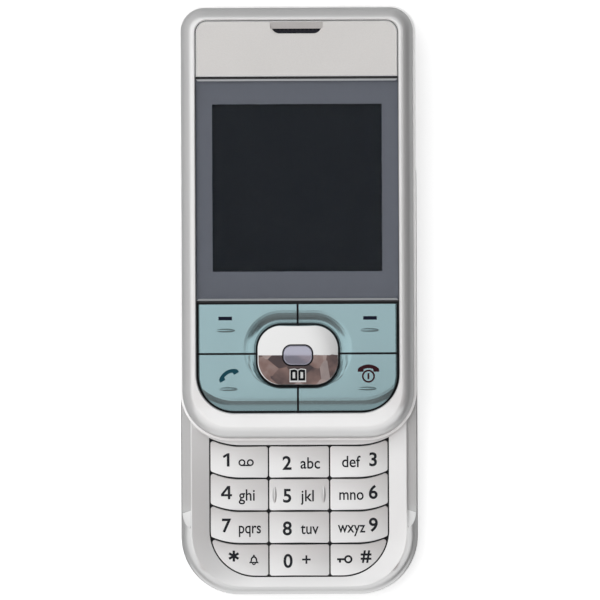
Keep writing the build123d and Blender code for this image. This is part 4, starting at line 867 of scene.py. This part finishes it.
class PHONE_OT_stage(bpy.types.Operator):
    """Set the floor, the room, the lamp, the cards and the camera"""
    bl_idname = "phone.stage"
    bl_label = "Stage"

    FLOOR_REACH = 3.0
    FLOOR_DROP = 0.1 * MM
    FLOOR_SEEN = (0.88, 0.88, 0.88, 1.0)
    FLOOR_MIRRORED = (0.42, 0.42, 0.42, 1.0)
    LAMP_PLACE = (-0.25, 0.20, 1.1)
    LAMP_SIZE = 1.0
    # Left, right, low and high edge of the cards away from the phone, and their heights
    FAR_FLAG = (-0.40, 0.40, -0.66, -0.15)
    HIGH_FLAG = (-0.03, 0.15, -0.10, -0.03)
    FLAG_HEIGHT = 0.8
    LOW_CARD = (-0.06, 0.06, -0.25, -0.06)
    LOW_CARD_HEIGHT = 1.0 * MM
    # How slantwise a card has to be looked at to be seen, from 0, squarely, to 1, along it
    SQUARELY = (0.0, 0.12)
    SLANTWISE = (0.03, 0.36)
    BROADLY = (0.04, 0.60)

    def execute(self, context):
        scene = context.scene
        stage = scene.phone_stage
        scene.view_settings.view_transform = "Standard"
        self.floor(stage.lift)
        self.room(scene, stage)
        self.lamp(stage.key_power)
        self.ring_cards()
        self.edge_cards()
        self.camera(scene, stage)
        return {"FINISHED"}

    @staticmethod
    def sheet(name, corners, height):
        """A level sheet with a given outline and a material of its own, for the floor and the cards."""
        mesh = bpy.data.meshes.new(name)
        mesh.from_pydata([(x, y, height) for x, y in corners], [], [range(len(corners))])
        piece = bpy.data.objects.new(name, mesh)
        bpy.context.scene.collection.objects.link(piece)
        material, tree, shader = new_material(name + "_paint")
        mesh.materials.append(material)
        return piece, tree, shader

    def floor(self, lift):
        """White floor, lifted where the camera sees it so that shadows stay soft, greyer in reflections."""
        reach = self.FLOOR_REACH
        _, tree, shader = self.sheet("floor", bar(-reach, reach, -reach, reach), -self.FLOOR_DROP)
        shader.inputs["Roughness"].default_value = 0.9
        shader.inputs["Specular IOR Level"].default_value = 0.0
        shader.inputs["Emission Color"].default_value = (1.0, 1.0, 1.0, 1.0)
        path = node_at(tree, "ShaderNodeLightPath", -400, 300)
        # Sockets 6 and 7 of a Mix node are its two colours, and output 2 is the mixed one
        tone = node_at(tree, "ShaderNodeMix", -200, 0, data_type="RGBA")
        tone.inputs[6].default_value = self.FLOOR_SEEN
        tone.inputs[7].default_value = self.FLOOR_MIRRORED
        tree.links.new(path.outputs["Is Glossy Ray"], tone.inputs[0])
        tree.links.new(tone.outputs[2], shader.inputs["Base Color"])
        seen = math_node(tree, "MULTIPLY", -200, 300, path.outputs["Is Camera Ray"], lift)
        tree.links.new(seen, shader.inputs["Emission Strength"])

    @staticmethod
    def room(scene, stage):
        """Room with a bright ceiling and a window in front, lighter to the left and dark to the right."""
        world = bpy.data.worlds.new("studio")
        scene.world = world
        world.use_nodes = True
        tree = world.node_tree
        background = tree.nodes["Background"]
        background.inputs["Color"].default_value = (1.0, 1.0, 1.0, 1.0)
        place = node_at(tree, "ShaderNodeTexCoord", -900, 0)
        sides = node_at(tree, "ShaderNodeVectorMath", -650, 150, operation="DOT_PRODUCT")
        sides.inputs[1].default_value = stage.wall_slope
        tree.links.new(place.outputs["Generated"], sides.inputs[0])
        total = math_node(tree, "ADD", -420, 150, sides.outputs["Value"], stage.walls)
        # Direction of each light, the angles at which it starts and is full, and its strength
        ceiling = ((-0.14, 0.0, 1.0), 24.0, 10.0, stage.ceiling)
        window = ((0.0, -1.0, 0.15), 42.0, 15.0, stage.front)
        for axis, outer, inner, strength in (ceiling, window):
            towards = node_at(tree, "ShaderNodeVectorMath", -650, -150, operation="DOT_PRODUCT")
            towards.inputs[1].default_value = Vector(axis).normalized()
            glow = node_at(tree, "ShaderNodeMapRange", -420, -150, interpolation_type="SMOOTHSTEP")
            glow.inputs["From Min"].default_value = math.cos(math.radians(outer))
            glow.inputs["From Max"].default_value = math.cos(math.radians(inner))
            glow.inputs["To Max"].default_value = strength
            tree.links.new(place.outputs["Generated"], towards.inputs[0])
            tree.links.new(towards.outputs["Value"], glow.inputs["Value"])
            total = math_node(tree, "ADD", -200, 0, total, glow.outputs["Result"])
        tree.links.new(total, background.inputs["Strength"])

    def lamp(self, power):
        """Large round lamp overhead, a little to the upper left; shiny faces do not mirror it."""
        data = bpy.data.lights.new("key_lamp", "AREA")
        data.shape = "DISK"
        data.size = self.LAMP_SIZE
        data.energy = power
        piece = bpy.data.objects.new("key_lamp", data)
        bpy.context.scene.collection.objects.link(piece)
        piece.visible_glossy = False
        piece.location = self.LAMP_PLACE
        piece.rotation_euler = (-piece.location).to_track_quat("-Z", "Y").to_euler()

    def ring_cards(self):
        """Mottled cards for the room that the ring mirrors, and a plain one that lights the dish."""
        low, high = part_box("nav_ring")
        near = self.lower_half(low, high)
        self.card("near_flag", near, high.z + 3.0 * MM, 1.4, slants=self.SQUARELY, patches=260.0)
        self.card("far_flag", bar(*self.FAR_FLAG), self.FLAG_HEIGHT, 1.0, patches=9.0)
        self.card("high_flag", bar(*self.HIGH_FLAG), self.FLAG_HEIGHT, 0.5, patches=9.0)
        side, foot, head = 3.0 * MM, 1.0 * MM, 3.0 * MM
        dish = bar(low.x - side, high.x + side, low.y - foot, high.y - head)
        self.card("ring_card", dish, high.z + 3.5 * MM, 1.45, slants=self.SLANTWISE)

    @staticmethod
    def lower_half(low, high):
        """Outline of the lower half of the ring, a little larger than the ring."""
        spread, roundness = 1.06, 0.8
        across = (high.x - low.x) / 2 * spread
        along = (high.y - low.y) / 2 * spread
        turn = roundness * along
        half = [(-across, 0.0)]
        for x, start in ((turn - across, 180.0), (across - turn, 270.0)):
            half += circle(x, turn - along, turn, start, start + 90.0)
        half.append((across, 0.0))
        return moved(half, (low.x + high.x) / 2, (low.y + high.y) / 2)

    def edge_cards(self):
        """Plain cards that light the rolled lower edges of the display half and of the base."""
        gap = 2.5 * MM
        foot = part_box("slider_bezel")[0].y - 2.0 * MM
        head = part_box("call_key")[0].y - 0.2 * MM
        roll = bar(-24.0 * MM, 24.0 * MM, foot, head)
        self.card("roll_card", roll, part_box("nav_ring")[1].z + gap, 0.75, slants=self.BROADLY)
        inner, outer = 20.5 * MM, 34.0 * MM
        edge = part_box("base_front_housing")[0].y - 6.0 * MM
        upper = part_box("key_8")[1].y
        key_low, key_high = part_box("key_0")
        right = [(outer, edge), (outer, upper), (inner, upper), (inner, key_low.y)]
        self.card("chin_card", right + mirrored(right), key_high.z + gap, 0.9, slants=self.BROADLY)
        self.card("low_card", bar(*self.LOW_CARD), self.LOW_CARD_HEIGHT, 0.9)

    def card(self, name, corners, height, strength, slants=None, patches=None):
        """A shining card that only shiny faces see, at certain slants only and with patches where given."""
        piece, tree, shader = self.sheet(name, corners, height)
        piece.visible_camera = False
        piece.visible_diffuse = False
        piece.visible_transmission = False
        piece.visible_shadow = False
        shader.inputs["Base Color"].default_value = (0.0, 0.0, 0.0, 1.0)
        shader.inputs["Specular IOR Level"].default_value = 0.0
        shader.inputs["Emission Color"].default_value = (1.0, 1.0, 1.0, 1.0)
        shader.inputs["Emission Strength"].default_value = strength
        if slants:
            least, most = slants
            slant = node_at(tree, "ShaderNodeLayerWeight", -300, 400, Blend=0.5)
            seen = node_at(tree, "ShaderNodeMath", -100, 400, operation="COMPARE")
            seen.inputs[1].default_value = (least + most) / 2
            seen.inputs[2].default_value = (most - least) / 2
            tree.links.new(slant.outputs["Facing"], seen.inputs[0])
            tree.links.new(seen.outputs[0], shader.inputs["Alpha"])
        if patches:
            mottle = place_group(tree, "room_mottle", -300, 0, Patch_Scale=patches)
            tree.links.new(mottle.outputs["Color"], shader.inputs["Emission Color"])

    @staticmethod
    def camera(scene, stage):
        """Long lens over the phone, nearly square on."""
        data = bpy.data.cameras.new("camera")
        data.lens = data.sensor_width * stage.distance / stage.field
        piece = bpy.data.objects.new("camera", data)
        scene.collection.objects.link(piece)
        away = Vector((math.sin(stage.yaw), 0.0, math.cos(stage.yaw)))
        piece.location = Vector(stage.aim) + away * stage.distance
        piece.rotation_mode = "ZYX"
        piece.rotation_euler = (0.0, stage.yaw, stage.roll)
        scene.camera = piece


class PHONE_PT_panel(bpy.types.Panel):
    """Lists the phone's pieces and settings"""
    bl_idname = "PHONE_PT_panel"
    bl_label = "Slide Phone"
    bl_space_type = "VIEW_3D"
    bl_region_type = "UI"
    bl_category = "Slide Phone"

    def draw(self, context):
        for operator in OPERATORS:
            self.layout.operator(operator.bl_idname)
        for name in SETTINGS:
            group = getattr(context.scene, name)
            column = self.layout.column(align=True)
            for setting in group.__annotations__:
                column.prop(group, setting)


SETTINGS = {"phone_finishes": PhoneFinishes, "phone_legends": PhoneLegends, "phone_links": PhoneLinks,
            "phone_stage": PhoneStage}
OPERATORS = (PHONE_OT_shells, PHONE_OT_display, PHONE_OT_function_keys, PHONE_OT_navigation,
             PHONE_OT_number_keys, PHONE_OT_inner_parts, PHONE_OT_slide_links, PHONE_OT_stage)
CLASSES = (*SETTINGS.values(), *OPERATORS, PHONE_PT_panel)


def register():
    """Make the settings, operators and panel known to Blender."""
    for cls in CLASSES:
        bpy.utils.register_class(cls)
    for name, group in SETTINGS.items():
        setattr(bpy.types.Scene, name, bpy.props.PointerProperty(type=group))


def unregister():
    """Take them away again."""
    for name in SETTINGS:
        delattr(bpy.types.Scene, name)
    for cls in reversed(CLASSES):
        bpy.utils.unregister_class(cls)


def main():
    """Dress the phone and set the stage."""
    register()
    bpy.ops.phone.shells()
    bpy.ops.phone.display()
    bpy.ops.phone.function_keys()
    bpy.ops.phone.navigation()
    bpy.ops.phone.number_keys()
    bpy.ops.phone.inner_parts()
    bpy.ops.phone.slide_links()
    bpy.ops.phone.stage()


if __name__ == "__main__":
    main()
